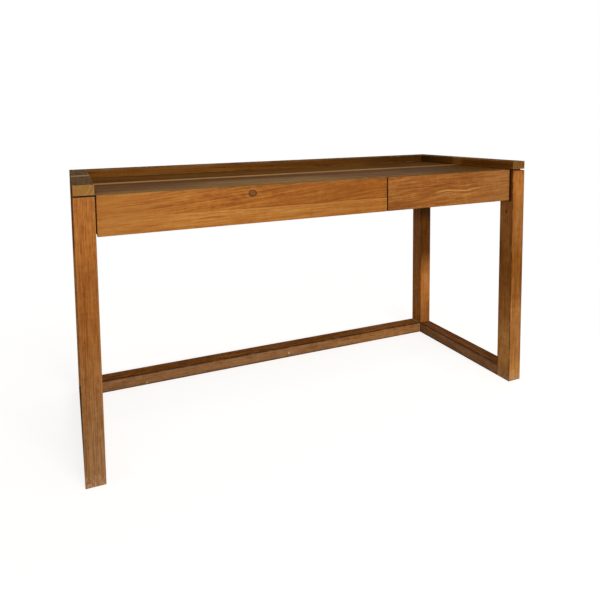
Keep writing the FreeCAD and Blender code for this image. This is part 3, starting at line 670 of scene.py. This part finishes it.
def rail_wood(node, grain_axis, pith, seed, ring, tones, end, arc_amount):
    """Teak, planed and oiled: smooth dark brown, darker apron edges, a painted highlight on gallery edges,
    ringed ends.
    """
    weights, arris_colour = (SMOOTH_WEIGHTS, RAIL_ARRIS_HIGHLIGHT) if "gallery" in node else (WEIGHTS, RUBBED_IN)
    material, tree, _, tone, grain = new_board(
        f"oiled_teak_{node}", node, grain_axis, pith, seed, ring, 14, weights=weights)
    colour = cut_ends(tree, grain_axis, grain, browns(tree, tone, tones), end, arc_amount)
    for mark in RAIL_PAINTED_LIGHT_AND_SHADE.get(node, []):
        colour = laid(tree, colour, *mark)
    colour = arris_wear_and_highlight(tree, node, colour, 0.6, 2.6, arris_colour)
    shine = mask(tree, LOOKS_UP, RAIL_SHINE)
    dress(node, finish(material, colour, grain, 0.40, specular=0.05, depth=0.12, low_angle=shine))


for node, row in RAILS.items():
    rail_wood(node, *row)
print(len(RAILS), "rails and aprons")

# %% [markdown]
# ## The top
#
# Two wide boards make the top, with one pale stave between them, under a thin lacquer. The stave's pale
# browns are painted light, a narrow stripe of light across the top. Lacquer on open-pored wood isn't a
# mirror: fine waves along the grain break the reflection, so its shine at a low angle is held back and
# the bump is shallow. The front is pale in patches drawn out along the grain, and paler in two wide spans
# of painted reflection. The right end is darker with a painted reflection of the right rail, a dark line
# of painted shade lies at the foot of the side rails, and the thin front edge is dull.

# %% Top
TOP_TONES = ("4b2d10", "865726", "a7773b")
FRONT_TOP_TONES = ("482a0a", "80501b", "a2702e")
# The stave's pale browns are painted light: a narrow stripe of light across the top.
PAINTED_LIGHT_STAVE_TONES = ("aa7333", "daa25f", "ecc68a")
PALE_FRONT_TONES = ("8c6533", "b4894e", "d1aa70")
# Pith, start along the trunk, ring width, browns, brown of the ends, and shine at a low angle.
TOP_BOARDS = {
    "top_front_board": ((30, -150), 0.61, 6.5, FRONT_TOP_TONES, "7a4c20", 0.0003),
    "top_pale_stave": ((40, -120), 1.73, 4.0, PAINTED_LIGHT_STAVE_TONES, "c79a60", 0.0002),
    "top_back_board": ((-50, -140), 2.93, 6.0, TOP_TONES, "7a4c20", 0.0001),
}
RUBBED_PATCHES = (420, 30, 3.0)
RUBBED_CUT = (0.34, 0.66)
NEAR_FRONT = ("Y", -0.04, -0.19)
# Two spans along X where the front of the top carries a painted reflection.
REFLECTION_SPANS = (("X", -0.48, -0.28), ("X", 0.08, -0.06))
# The right end, where the top is darkened with a painted reflection of the right rail.
RIGHT_END = ("X", 0.26, 0.44)
# Painted shade: a dark line on the top at the foot of the side rails.
RAIL_FOOT_SHADE = ("2a1a0a", ("either X", 0.648, 0.659), 0.75)


def pale_front_and_reflections(tree, place, tone, colour):
    """Pale patches along the front, strongest in two spans of painted reflection and least at the right end.
    """
    patches = (swell(tree, place, *RUBBED_PATCHES), *RUBBED_CUT)
    shares = [add(tree, RANGE, {}, (mask(tree, *parts), 0.0, 1.0, low, high)) for parts, low, high in (
        ([patches], 0.1, 0.9), (REFLECTION_SPANS, 0.5, 1.25), ([RIGHT_END], 1.0, 0.3))]
    return laid(tree, colour, browns(tree, tone, PALE_FRONT_TONES), NEAR_FRONT, *shares)


def top_wood(node, pith, seed, ring, tones, end, shine):
    """Teak, lacquered: a deep, smooth brown with a dull shine, paler where it is rubbed."""
    material, tree, place, tone, grain = new_board(
        f"lacquered_teak_{node}", node, "X", pith, seed, ring, 22, weights=SMOOTH_WEIGHTS)
    colour = browns(tree, tone, tones)
    if node == "top_front_board":
        colour = pale_front_and_reflections(tree, place, tone, colour)
    # Painted reflection of the right rail: the right end of the top is darker.
    colour = laid(tree, colour, "332009", RIGHT_END, 0.28)
    # Painted shade at the foot of the side rails.
    colour = laid(tree, colour, *RAIL_FOOT_SHADE)
    edge = laid(tree, "8a6c48", "614829", RIGHT_END)
    colour = laid(tree, colour, edge, ("facing Y", *LOOKS_TO_MINUS), 0.9)
    colour = cut_ends(tree, "X", grain, colour, end, 0.2)
    dress(node, finish(material, colour, grain, 0.26, specular=0.10, depth=0.06, low_angle=shine))


for node, row in TOP_BOARDS.items():
    top_wood(node, *row)
print(len(TOP_BOARDS), "boards in the top")

# %% [markdown]
# ## The long drawer's front
#
# This front is glued up from two boards: a darker one above with flames that climb to the right, and a
# lighter, straighter one below. The joint wavers a little between a dark and a pale line, and is lost at
# the left. A dark knot sits near the top edge, and the rings bow round it, which is drawn as a bulge in
# their radius. Wavy fibres mottle both boards. The upper edge is grey brown like the top beside it, a
# painted shade and reflection, and the cut ends are darkened with painted shade from the gaps.

# %% Knot and edges of a front
KNOT = (-0.2535, -0.239, 0.7015)
KNOT_REACH = (11.5, 900, 8.6)
KNOT_RING = 0.19


def knot_wood(tree, colour):
    """Lays a round knot with a dark bark rim and its own tight rings over the wood."""
    far = knot_distance(tree, KNOT, KNOT_REACH)
    uneven = add(tree, MATH, "MULTIPLY_ADD", (speckle(tree, 330.0), 0.5, far))
    rings = add(tree, MATH, "PINGPONG", (uneven, KNOT_RING))
    inside = laid(tree, "4d2809", "9c662c", (rings, 0.03, 0.16))
    colour = laid(tree, colour, "c98c40", (far, 2.1, 1.3), 0.12)
    colour = laid(tree, colour, inside, (far, 1.34, 1.10), 0.92)
    return laid(tree, colour, "4a270a", (far, 0.86, 1.10), (far, 1.34, 1.16), 0.8)


def front_edge_painted_shade(tree, tone, colour, edge_tones):
    """A front's upper face gets grey browns of painted shade and reflection, and its ends a painted shade."""
    # Painted shade and reflection on the upper face, then painted shade on the ends beside the gaps.
    colour = laid(tree, colour, browns(tree, tone, edge_tones), ("facing Z", 0.3, 0.8))
    return laid(tree, colour, "2e180a", end_grain("X"), 0.8)


print("knot at", KNOT)

# %% Long front
FRONT_WEIGHTS = {**WEIGHTS, "Fine": (1.60, 0.5), "Streak": (-0.20, 0.18)}
UPPER_TONES = ("82460f", "b16a22", "cc8b3d")
LOWER_TONES = ("9a5c20", "c47f35", "d8a255")
# Painted shade and reflection for the long front's upper face.
PALE_UPPER_FACE_SHADE_TONES = ("7a5832", "a67c4c", "c09a66")
BOW_REACH = (46, 900, 22)
BOW_FADE = (1.6, 0.2)
BOW_HEIGHT = 11 * MM
JOINT_HEIGHT = 0.6615
JOINT_WAVER = 7 * MM
CRISP_JOINT = (-0.5 * MM, 0.8 * MM)
LOST_JOINT = (-26 * MM, 26 * MM)
LOST_END = ("X", -0.42, -0.56)
LINED_END = ("X", -0.45, -0.15)
REDDER_END = ("X", -0.40, 0.05)
GOLDEN_END = ("X", -0.38, -0.60)
# The shade of each line along the joint, and where below the joint it comes and goes, in millimetres.
JOINT_LINES = (("6f3a0c", (-4, -0.8), (0.3, -0.5)), ("dba25a", (-0.2, 0.8), (4.5, 1.5)))


def joined_boards(tree, upper, lower):
    """The upper board's colour over the lower one's, with the wavering joint between them."""
    waver = add(tree, NOISE, {"noise_dimensions": "1D"}, {"W": read(tree, "X"), "Scale": 7.0, "Detail": 1.0})
    joint = add(tree, MATH, "MULTIPLY_ADD", (waver, JOINT_WAVER, JOINT_HEIGHT - JOINT_WAVER / 2))
    below = add(tree, MATH, "SUBTRACT", (joint, read(tree, "Z")))
    share = laid(tree, mask(tree, (below, *CRISP_JOINT)), mask(tree, (below, *LOST_JOINT)), LOST_END)
    colour = laid(tree, upper, lower, share)
    for shade, *sides in JOINT_LINES:
        line = [(below, start * MM, end * MM) for start, end in sides]
        colour = laid(tree, colour, shade, *line, LINED_END, 0.35)
    return colour


def long_front_wood(node):
    """Teak, planed and oiled: orange brown flames over paler straight grain, with a soft sheen."""
    material, tree = new_material(f"oiled_teak_{node}")
    bulge = mask(tree, (knot_distance(tree, KNOT, BOW_REACH), *BOW_FADE), BOW_HEIGHT)
    place = grain_place(tree, node, "X", (72, 40), 0.21, slope=0.085)
    tone, grain = teak_tone(tree, place, 6.0, 26, 0.95, bulge, FRONT_WEIGHTS)
    upper = browns(tree, mottled(tree, tone, place, 0.5), UPPER_TONES)
    upper = laid(tree, upper, "87490f", REDDER_END, 0.4)
    place = grain_place(tree, node, "X", (95, -120), 1.57, slope=0.01)
    lower_tone, _ = teak_tone(tree, place, 5.0, 14, 0.8, weights=FRONT_WEIGHTS)
    lower = browns(tree, mottled(tree, lower_tone, place, 0.4), LOWER_TONES)
    lower = laid(tree, lower, "955a1f", REDDER_END, 0.32)
    golden = laid(tree, lower, "b87430", 0.5)
    colour = laid(tree, joined_boards(tree, upper, lower), golden, GOLDEN_END, 0.55)
    colour = arris_wear_and_highlight(tree, node, knot_wood(tree, colour), 0.3)
    dress(node, finish(material, front_edge_painted_shade(tree, tone, colour, PALE_UPPER_FACE_SHADE_TONES), grain, 0.46))


long_front_wood("long_drawer_front")
print("joint at a height of", JOINT_HEIGHT, "m")

# %% [markdown]
# ## The short drawer's front
#
# The short front comes from a redder board, darker in its lower left corner and paler at its right end.
# Its grain climbs to the right too. A crisp pale streak of curly figure runs across its middle in two
# low waves, with a faint one above and one below. A sine of the place along the front gives the
# streak's line, and the distance to that line gives its soft width.

# %% Short front
SHORT_TONES = ("6f3b11", "a06128", "c48a48")
# Painted shade and reflection for the short front's upper face.
UPPER_FACE_SHADE_TONES = ("6b4a26", "93683a", "b0834f")
DARK_CORNER = ("7d430f", ("X", 0.36, 0.20), ("Z", 0.675, 0.635), 0.45)
PALE_END = ("b08450", ("X", 0.45, 0.65), 0.25)
CURL_MIDDLE = 0.6660
CURL_WAVE = 0.0024
CURL_LENGTH = 0.118
CURL_START = -1.1
CURL_ENDS = (("X", 0.335, 0.385), ("X", 0.56, 0.48))
CURL_FIBRES = (0.25, 0.55)
# Each streak's height above the middle one in metres, its width in millimetres and its amount.
CURLS = ((0.0, 2.0, 0.9), (0.017, 3.0, 0.16), (-0.010, 3.0, 0.3))


def curl(tree, lift, width):
    """1 along a low wave across the front, that fades at both ends."""
    along = read(tree, "X")
    turn = add(tree, MATH, "MULTIPLY_ADD", (along, math.tau / CURL_LENGTH, CURL_START))
    wave = add(tree, MATH, "SINE", (turn,))
    line = add(tree, MATH, "MULTIPLY_ADD", (wave, CURL_WAVE, CURL_MIDDLE + lift))
    stray = add(tree, NOISE, {"noise_dimensions": "1D"}, {"W": along, "Scale": 17.0, "Detail": 1.0})
    line = add(tree, MATH, "MULTIPLY_ADD", (stray, 2 * CURL_WAVE, line))
    off = add(tree, MATH, "SUBTRACT", (read(tree, "Z"), line))
    return mask(tree, (off, 0.6 * width * MM, 0.0), (off, -3 * width * MM, 0.0), *CURL_ENDS)


def short_front_wood(node):
    """Teak, planed and oiled: red brown with curly streaks that catch the light, and a soft sheen."""
    material, tree, place, tone, grain = new_board(
        f"oiled_teak_{node}", node, "X", (70, -66), 3.19, 6.0, 30, 0.72, slope=0.055, weights=FRONT_WEIGHTS)
    colour = browns(tree, mottled(tree, tone, place, 0.45), SHORT_TONES)
    colour = laid(tree, colour, *DARK_CORNER)
    for lift, width, amount in CURLS:
        colour = laid(tree, colour, "e0ac66", curl(tree, lift, width), (grain["Fine"], *CURL_FIBRES), amount)
    colour = arris_wear_and_highlight(tree, node, laid(tree, colour, *PALE_END), 0.3)
    dress(node, finish(material, front_edge_painted_shade(tree, tone, colour, UPPER_FACE_SHADE_TONES), grain, 0.46))


short_front_wood("short_drawer_front")
print("curl from", CURL_ENDS[0][1], "to", CURL_ENDS[1][1], "m")

# %% [markdown]
# ## Inside: drawer boxes, runners and cleats
#
# Wood that nobody sees is sapwood of the same tree, paler, sanded and left without oil, so it is rougher.
# The guides and the divider stand beside the fronts, so they are dark with painted shade, which keeps
# the gaps dark. The pith and the ring width follow each piece's number, so that no two neighbours look
# alike.

# %% Inner wood
DRAWERS = ("long_drawer", "short_drawer")
INNER_TONES = ("86562a", "b98753", "d6ab78")
# Painted shade: the guides and the divider are dark so that the gaps beside the fronts stay dark.
GUIDE_SHADE_TONES = ("20120a", "3a2213", "573822")
GUIDES = ("drawer_divider", "left_drawer_guide", "right_drawer_guide")
INNER = {
    "X": ["front_top_rail", "back_cleat", "long_drawer_back", "short_drawer_back", "long_drawer_stop",
          "short_drawer_stop"],
    "Y": ["left_cleat", "right_cleat", *GUIDES]
         + [f"{drawer}_{side}_{piece}" for drawer in DRAWERS
            for side in ("left", "right") for piece in ("side", "runner")],
}


def inner_wood(node, grain_axis, number, tones):
    """Sapwood, sanded: dull, with soft grain and browner ends; pale, but dark with painted shade on the
    guides.
    """
    pith = (45 + 7 * (number % 5), 60 - 9 * (number % 4))
    ring = 4.2 + 0.3 * (number % 4)
    material, tree, _, tone, grain = new_board(
        f"sanded_sapwood_{node}", node, grain_axis, pith, 0.37 * number, ring, 16, 0.8)
    colour = laid(tree, browns(tree, tone, tones), "7a4f28", end_grain(grain_axis), 0.3)
    dress(node, finish(material, colour, grain, 0.62, specular=0.06, low_angle=0.0))


for grain_axis, names in INNER.items():
    for number, node in enumerate(names):
        inner_wood(node, grain_axis, number, GUIDE_SHADE_TONES if node in GUIDES else INNER_TONES)
print(sum(len(names) for names in INNER.values()), "inner pieces")

# %% [markdown]
# ## Plywood bottoms and dark spacers
#
# The drawer bottoms are thin plywood with a rotary-cut face: the knife follows the rings round the log,
# so its figure is wide and cloudy, and the plies show as stripes on the edges. The spacers under the
# gallery are nearly black, a painted shade, so that the rail seems to float over the legs.

# %% Plywood and spacers
PLY_TONES = ("a77c4c", "c9a06c", "e0c08f")
PLY_COUNT = 5
# Painted shade: nearly black, so the gap under the gallery reads as a shadow.
SPACER_SHADE_TONES = ("140b06", "2a190d", "432a16")


def plywood(node):
    """Plywood, sanded: a pale cloudy face, and dark and pale stripes on the edges."""
    material, tree, _, tone, grain = new_board(
        f"sanded_plywood_{node}", node, "X", (30, -260), 0.9, 9.0, 60, 0.8)
    low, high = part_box(node)
    level = add(tree, RANGE, {}, (read(tree, "Z"), low[2], high[2], 0.0, PLY_COUNT))
    ply = add(tree, MATH, "PINGPONG", (level, 1.0))
    edge = ("either facing Z", 0.6, 0.3)
    colour = laid(tree, browns(tree, tone, PLY_TONES), "7b5430", edge, (ply, 0.45, 0.55), 0.7)
    dress(node, finish(material, colour, grain, 0.58, specular=0.06, low_angle=0.0))


def spacer_wood(node):
    """Teak, nearly black with painted shade, so that it reads as a shadow."""
    material, tree, _, tone, grain = new_board("shade_painted_teak_spacers", node, "X", (20, -60), 0.5, 3.5, 8)
    dress(node, finish(material, browns(tree, tone, SPACER_SHADE_TONES), grain, 0.6, specular=0.2))


for drawer in DRAWERS:
    plywood(f"{drawer}_bottom")
spacer_wood("leg_top_spacers")
print("plywood of", PLY_COUNT, "plies, and spacers dark with painted shade")

# %% [markdown]
# ## Screws
#
# Every screw is the same thing at another length: a countersunk head with a cross recess, a core, a thread
# and a point. Geometry Nodes build one from named sizes and put it at each place. The places are read from
# the solids: each loose piece of a screw node is one screw, its longest side is its direction, and its
# widest ring is the head.

# %% Where the fasteners are
def loose_pieces(node):
    """Corner points of each separate solid in a node."""
    shape = bmesh.new()
    shape.from_mesh(nodes[node].data)
    bmesh.ops.remove_doubles(shape, verts=shape.verts, dist=0.01 * MM)
    waiting = set(shape.verts)
    found = []
    while waiting:
        front = [waiting.pop()]
        points = []
        while front:
            corner = front.pop()
            points.append(corner.co.copy())
            linked = {edge.other_vert(corner) for edge in corner.link_edges} & waiting
            waiting -= linked
            front.extend(linked)
        found.append(points)
    shape.free()
    return sorted(found, key=lambda points: tuple(round(c, 5) for c in min(tuple(p) for p in points)))


def fastener(points):
    """Head place, direction and length of one screw or dowel, from its corner points."""
    low = Vector([min(point[axis] for point in points) for axis in range(3)])
    high = Vector([max(point[axis] for point in points) for axis in range(3)])
    long_axis = max(range(3), key=lambda axis: high[axis] - low[axis])
    line = (low + high) / 2
    others = [axis for axis in range(3) if axis != long_axis]
    widest = max(points, key=lambda point: sum((point[axis] - line[axis]) ** 2 for axis in others))
    at_low = widest[long_axis] < line[long_axis]
    head = line.copy()
    head[long_axis] = low[long_axis] if at_low else high[long_axis]
    way = Vector((0.0, 0.0, 0.0))
    way[long_axis] = 1.0 if at_low else -1.0
    return head, way, high[long_axis] - low[long_axis]


SCREW_NODES = [node for node in nodes if node.endswith("_screws")]
places = {node: [fastener(points) for points in loose_pieces(node)] for node in SCREW_NODES}
print({node: len(rows) for node, rows in places.items()})

# %% Screw steel
def screw_steel():
    """Steel, zinc plated: a dull grey metal with faint yellow bloom in patches."""
    material, tree = new_material("zinc_plated_steel")
    bloom = speckle(tree, 420.0, 3.0)
    colour = add(tree, RAMP, {}, (bloom,), ((0.3, linear("8f8a80")), (0.7, linear("bfb59a"))))
    rough = add(tree, RANGE, {}, (bloom, 0.0, 1.0, 0.28, 0.52))
    metal = add(tree, "ShaderNodeBsdfPrincipled", {},
                {"Base Color": colour, "Metallic": 1.0, "Roughness": rough})
    add(tree, "ShaderNodeOutputMaterial", {}, {"Surface": metal})
    return material


steel = screw_steel()
print("steel for", sum(len(rows) for rows in places.values()), "screws")

# %% Fastener helpers
def fastener_tree(name, sizes):
    """A Geometry Nodes tree with an input for the places and one for each named size, and its inputs."""
    tree = bpy.data.node_groups.new(name, "GeometryNodeTree")
    tree.interface.new_socket("Places", in_out="INPUT", socket_type="NodeSocketGeometry")
    for label in sizes:
        tree.interface.new_socket(label, in_out="INPUT", socket_type="NodeSocketFloat")
    tree.interface.new_socket("Fasteners", in_out="OUTPUT", socket_type="NodeSocketGeometry")
    return tree, tree.nodes.new("NodeGroupInput").outputs


def joined(tree, shapes):
    """Several shapes as one."""
    whole = tree.nodes.new("GeometryNodeJoinGeometry")
    for shape in shapes:
        tree.links.new(shape, whole.inputs[0])
    return whole.outputs[0]


def lifted(tree, shape, height):
    """A shape moved up along Z."""
    lift = add(tree, BUILD, {}, {"Z": height})
    return add(tree, "GeometryNodeTransform", {}, {"Geometry": shape, "Translation": lift})


def lathed(tree, corners, low_radius, high_radius, depth, start):
    """A cone or cylinder along +Z from a start."""
    return lifted(tree, add(tree, "GeometryNodeMeshCone", {}, {
        "Vertices": corners, "Radius Bottom": low_radius, "Radius Top": high_radius, "Depth": depth}), start)


def put_in_place(tree, size, shape, material):
    """Ends a tree: the shape at each place, turned along its way, made real and given its material."""
    way = add(tree, "GeometryNodeInputNamedAttribute", {"data_type": "FLOAT_VECTOR"}, {"Name": "way"})
    turn = add(tree, "FunctionNodeAlignRotationToVector", {"axis": "Z"}, {"Vector": way})
    placed = add(tree, "GeometryNodeInstanceOnPoints", {},
                 {"Points": size["Places"], "Instance": shape, "Rotation": turn})
    real = add(tree, "GeometryNodeRealizeInstances", {}, {"Geometry": placed})
    dressed = add(tree, "GeometryNodeSetMaterial", {}, {"Geometry": real, "Material": material})
    tree.links.new(dressed, tree.nodes.new("NodeGroupOutput").inputs[0])
    return tree


print("screws and dowels are put in place alike")

# %% Screw tree
SCREW_SIZES = {
    "Length": 30 * MM, "Head radius": 4 * MM, "Head depth": 3 * MM, "Core radius": 1.45 * MM,
    "Thread radius": 1.95 * MM, "Thread pitch": 2.2 * MM, "Recess length": 4.6 * MM, "Recess width": 1.1 * MM,
}
HEAD_CORNERS = 24
CORE_CORNERS = 12
RECESS_DEPTH = 1.3
TIP_LENGTH = 3.0
THREADED_SHARE = 0.85


def screw_head(tree, size):
    """A countersunk head with a cross cut into it. Half of each bar lies above the head."""
    deep = add(tree, MATH, "MULTIPLY", (size["Head depth"], RECESS_DEPTH))
    bars = []
    for sides in (("Recess length", "Recess width"), ("Recess width", "Recess length")):
        block = add(tree, BUILD, {}, (size[sides[0]], size[sides[1]], deep))
        bars.append(add(tree, "GeometryNodeMeshCube", {}, {"Size": block}))
    head = lathed(tree, HEAD_CORNERS, size["Head radius"], size["Core radius"], size["Head depth"], 0.0)
    return add(tree, "GeometryNodeMeshBoolean", "DIFFERENCE", {"Mesh 1": head, "Mesh 2": joined(tree, bars)})


def screw_thread(tree, size, straight, below):
    """A ridge that climbs round the lower part of the core."""
    core = size["Core radius"]
    rise = add(tree, MATH, "MULTIPLY", (below, THREADED_SHARE))
    rounds = add(tree, MATH, "DIVIDE", (rise, size["Thread pitch"]))
    helix = add(tree, "GeometryNodeCurveSpiral", {}, {
        "Resolution": CORE_CORNERS, "Rotations": rounds, "Height": rise, "Start Radius": core,
        "End Radius": core})
    helix = lifted(tree, helix, add(tree, MATH, "SUBTRACT", (straight, rise)))
    crest = add(tree, MATH, "SUBTRACT", (size["Thread radius"], core))
    ridge = add(tree, "GeometryNodeCurvePrimitiveCircle", {}, {"Resolution": 4, "Radius": crest})
    return add(tree, "GeometryNodeCurveToMesh", {},
               {"Curve": helix, "Profile Curve": ridge, "Fill Caps": True})


def screw_tree():
    """One wood screw along +Z from the flat of its head, put at each point along its way."""
    tree, size = fastener_tree("wood_screws", SCREW_SIZES)
    core, head_depth = size["Core radius"], size["Head depth"]
    tip = add(tree, MATH, "MULTIPLY", (core, TIP_LENGTH))
    straight = add(tree, MATH, "SUBTRACT", (size["Length"], tip))
    below = add(tree, MATH, "SUBTRACT", (straight, head_depth))
    parts = (screw_head(tree, size), lathed(tree, CORE_CORNERS, core, core, below, head_depth),
             lathed(tree, CORE_CORNERS, core, 0.0, tip, straight), screw_thread(tree, size, straight, below))
    return put_in_place(tree, size, joined(tree, parts), steel)


screws = screw_tree()
print("screw tree with", len(screws.nodes), "nodes")

# %% Put the screws in
bodies = frame["record"]["behaviour"]["bodies"]
body_of_node = {node: body for body, names in bodies.items() for node in names}


def grown(name, tree, rows, sizes):
    """A plain mesh object of what a Geometry Nodes tree makes at the fasteners' places."""
    points = bpy.data.meshes.new(name + "_places")
    points.from_pydata([head for head, way, length in rows], [], [])
    ways = points.attributes.new("way", "FLOAT_VECTOR", "POINT")
    for number, (head, way, length) in enumerate(rows):
        ways.data[number].vector = way
    seed = bpy.data.objects.new(name + "_places", points)
    scene.collection.objects.link(seed)
    modifier = seed.modifiers.new("grow", "NODES")
    modifier.node_group = tree
    for socket in tree.interface.items_tree:
        if socket.in_out == "INPUT" and socket.name in sizes:
            modifier[socket.identifier] = sizes[socket.name]
    made = bpy.data.meshes.new_from_object(seed.evaluated_get(bpy.context.evaluated_depsgraph_get()))
    seed.modifiers.clear()
    bpy.data.objects.remove(seed)
    piece = bpy.data.objects.new(name, made)
    scene.collection.objects.link(piece)
    return piece


for node, rows in places.items():
    piece = grown("cross_head_" + node, screws, rows, {**SCREW_SIZES, "Length": rows[0][2]})
    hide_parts(node)
    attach(piece, body_of_node[node])
    print(node, len(rows), "screws,", len(piece.data.polygons), "faces")

# %% [markdown]
# ## Dowels
#
# Dowels for glue have flutes pressed into them, so that air and glue can escape, and their ends are
# bevelled to find the hole. A cylinder with every second corner pulled in makes the flutes.

# %% Dowel wood and tree
DOWEL_SIZES = {"Length": 30 * MM, "Radius": 4 * MM, "Flute": 0.35 * MM, "Bevel": 0.9 * MM}
DOWEL_CORNERS = 32
DOWEL_TONES = ("a9835a", "cfae85", "e3cba8")


def dowel_wood():
    """Beech, turned: pale and even, with short brown flecks."""
    material, tree = new_material("turned_beech_dowels")
    tone, grain = teak_tone(tree, here(tree), 3.0, 6, 0.7)
    return finish(material, browns(tree, tone, DOWEL_TONES), grain, 0.6, specular=0.2)


def dowel_tree(material):
    """A fluted dowel along +Z from its end, put at each point along its way."""
    tree, size = fastener_tree("fluted_dowels", DOWEL_SIZES)
    radius, bevel = size["Radius"], size["Bevel"]
    narrow = add(tree, MATH, "SUBTRACT", (radius, bevel))
    body = add(tree, MATH, "MULTIPLY_ADD", (bevel, -2.0, size["Length"]))
    top = add(tree, MATH, "ADD", (body, bevel))
    drums = [lathed(tree, DOWEL_CORNERS, *row) for row in (
        (narrow, radius, bevel, 0.0), (radius, radius, body, bevel), (radius, narrow, bevel, top))]
    odd = add(tree, MATH, "MODULO", (add(tree, "GeometryNodeInputIndex"), 2.0))
    corner = add(tree, "GeometryNodeInputPosition")
    outward = add(tree, VECTOR, "MULTIPLY", (corner, (1.0, 1.0, 0.0)))
    outward = add(tree, VECTOR, "NORMALIZE", (outward,))
    depth = add(tree, MATH, "MULTIPLY", (size["Flute"], -1.0))
    inward = add(tree, VECTOR, "SCALE", {0: outward, "Scale": depth})
    fluted = add(tree, "GeometryNodeSetPosition", {},
                 {"Geometry": joined(tree, drums), "Selection": odd, "Offset": inward})
    return put_in_place(tree, size, fluted, material)


dowels = dowel_tree(dowel_wood())
for node in ("gallery_dowels", "corner_dowels"):
    rows = [fastener(points) for points in loose_pieces(node)]
    piece = grown("fluted_" + node, dowels, rows, {**DOWEL_SIZES, "Length": rows[0][2]})
    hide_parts(node)
    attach(piece, body_of_node[node])
    print(node, len(rows), "dowels,", len(piece.data.polygons), "faces")
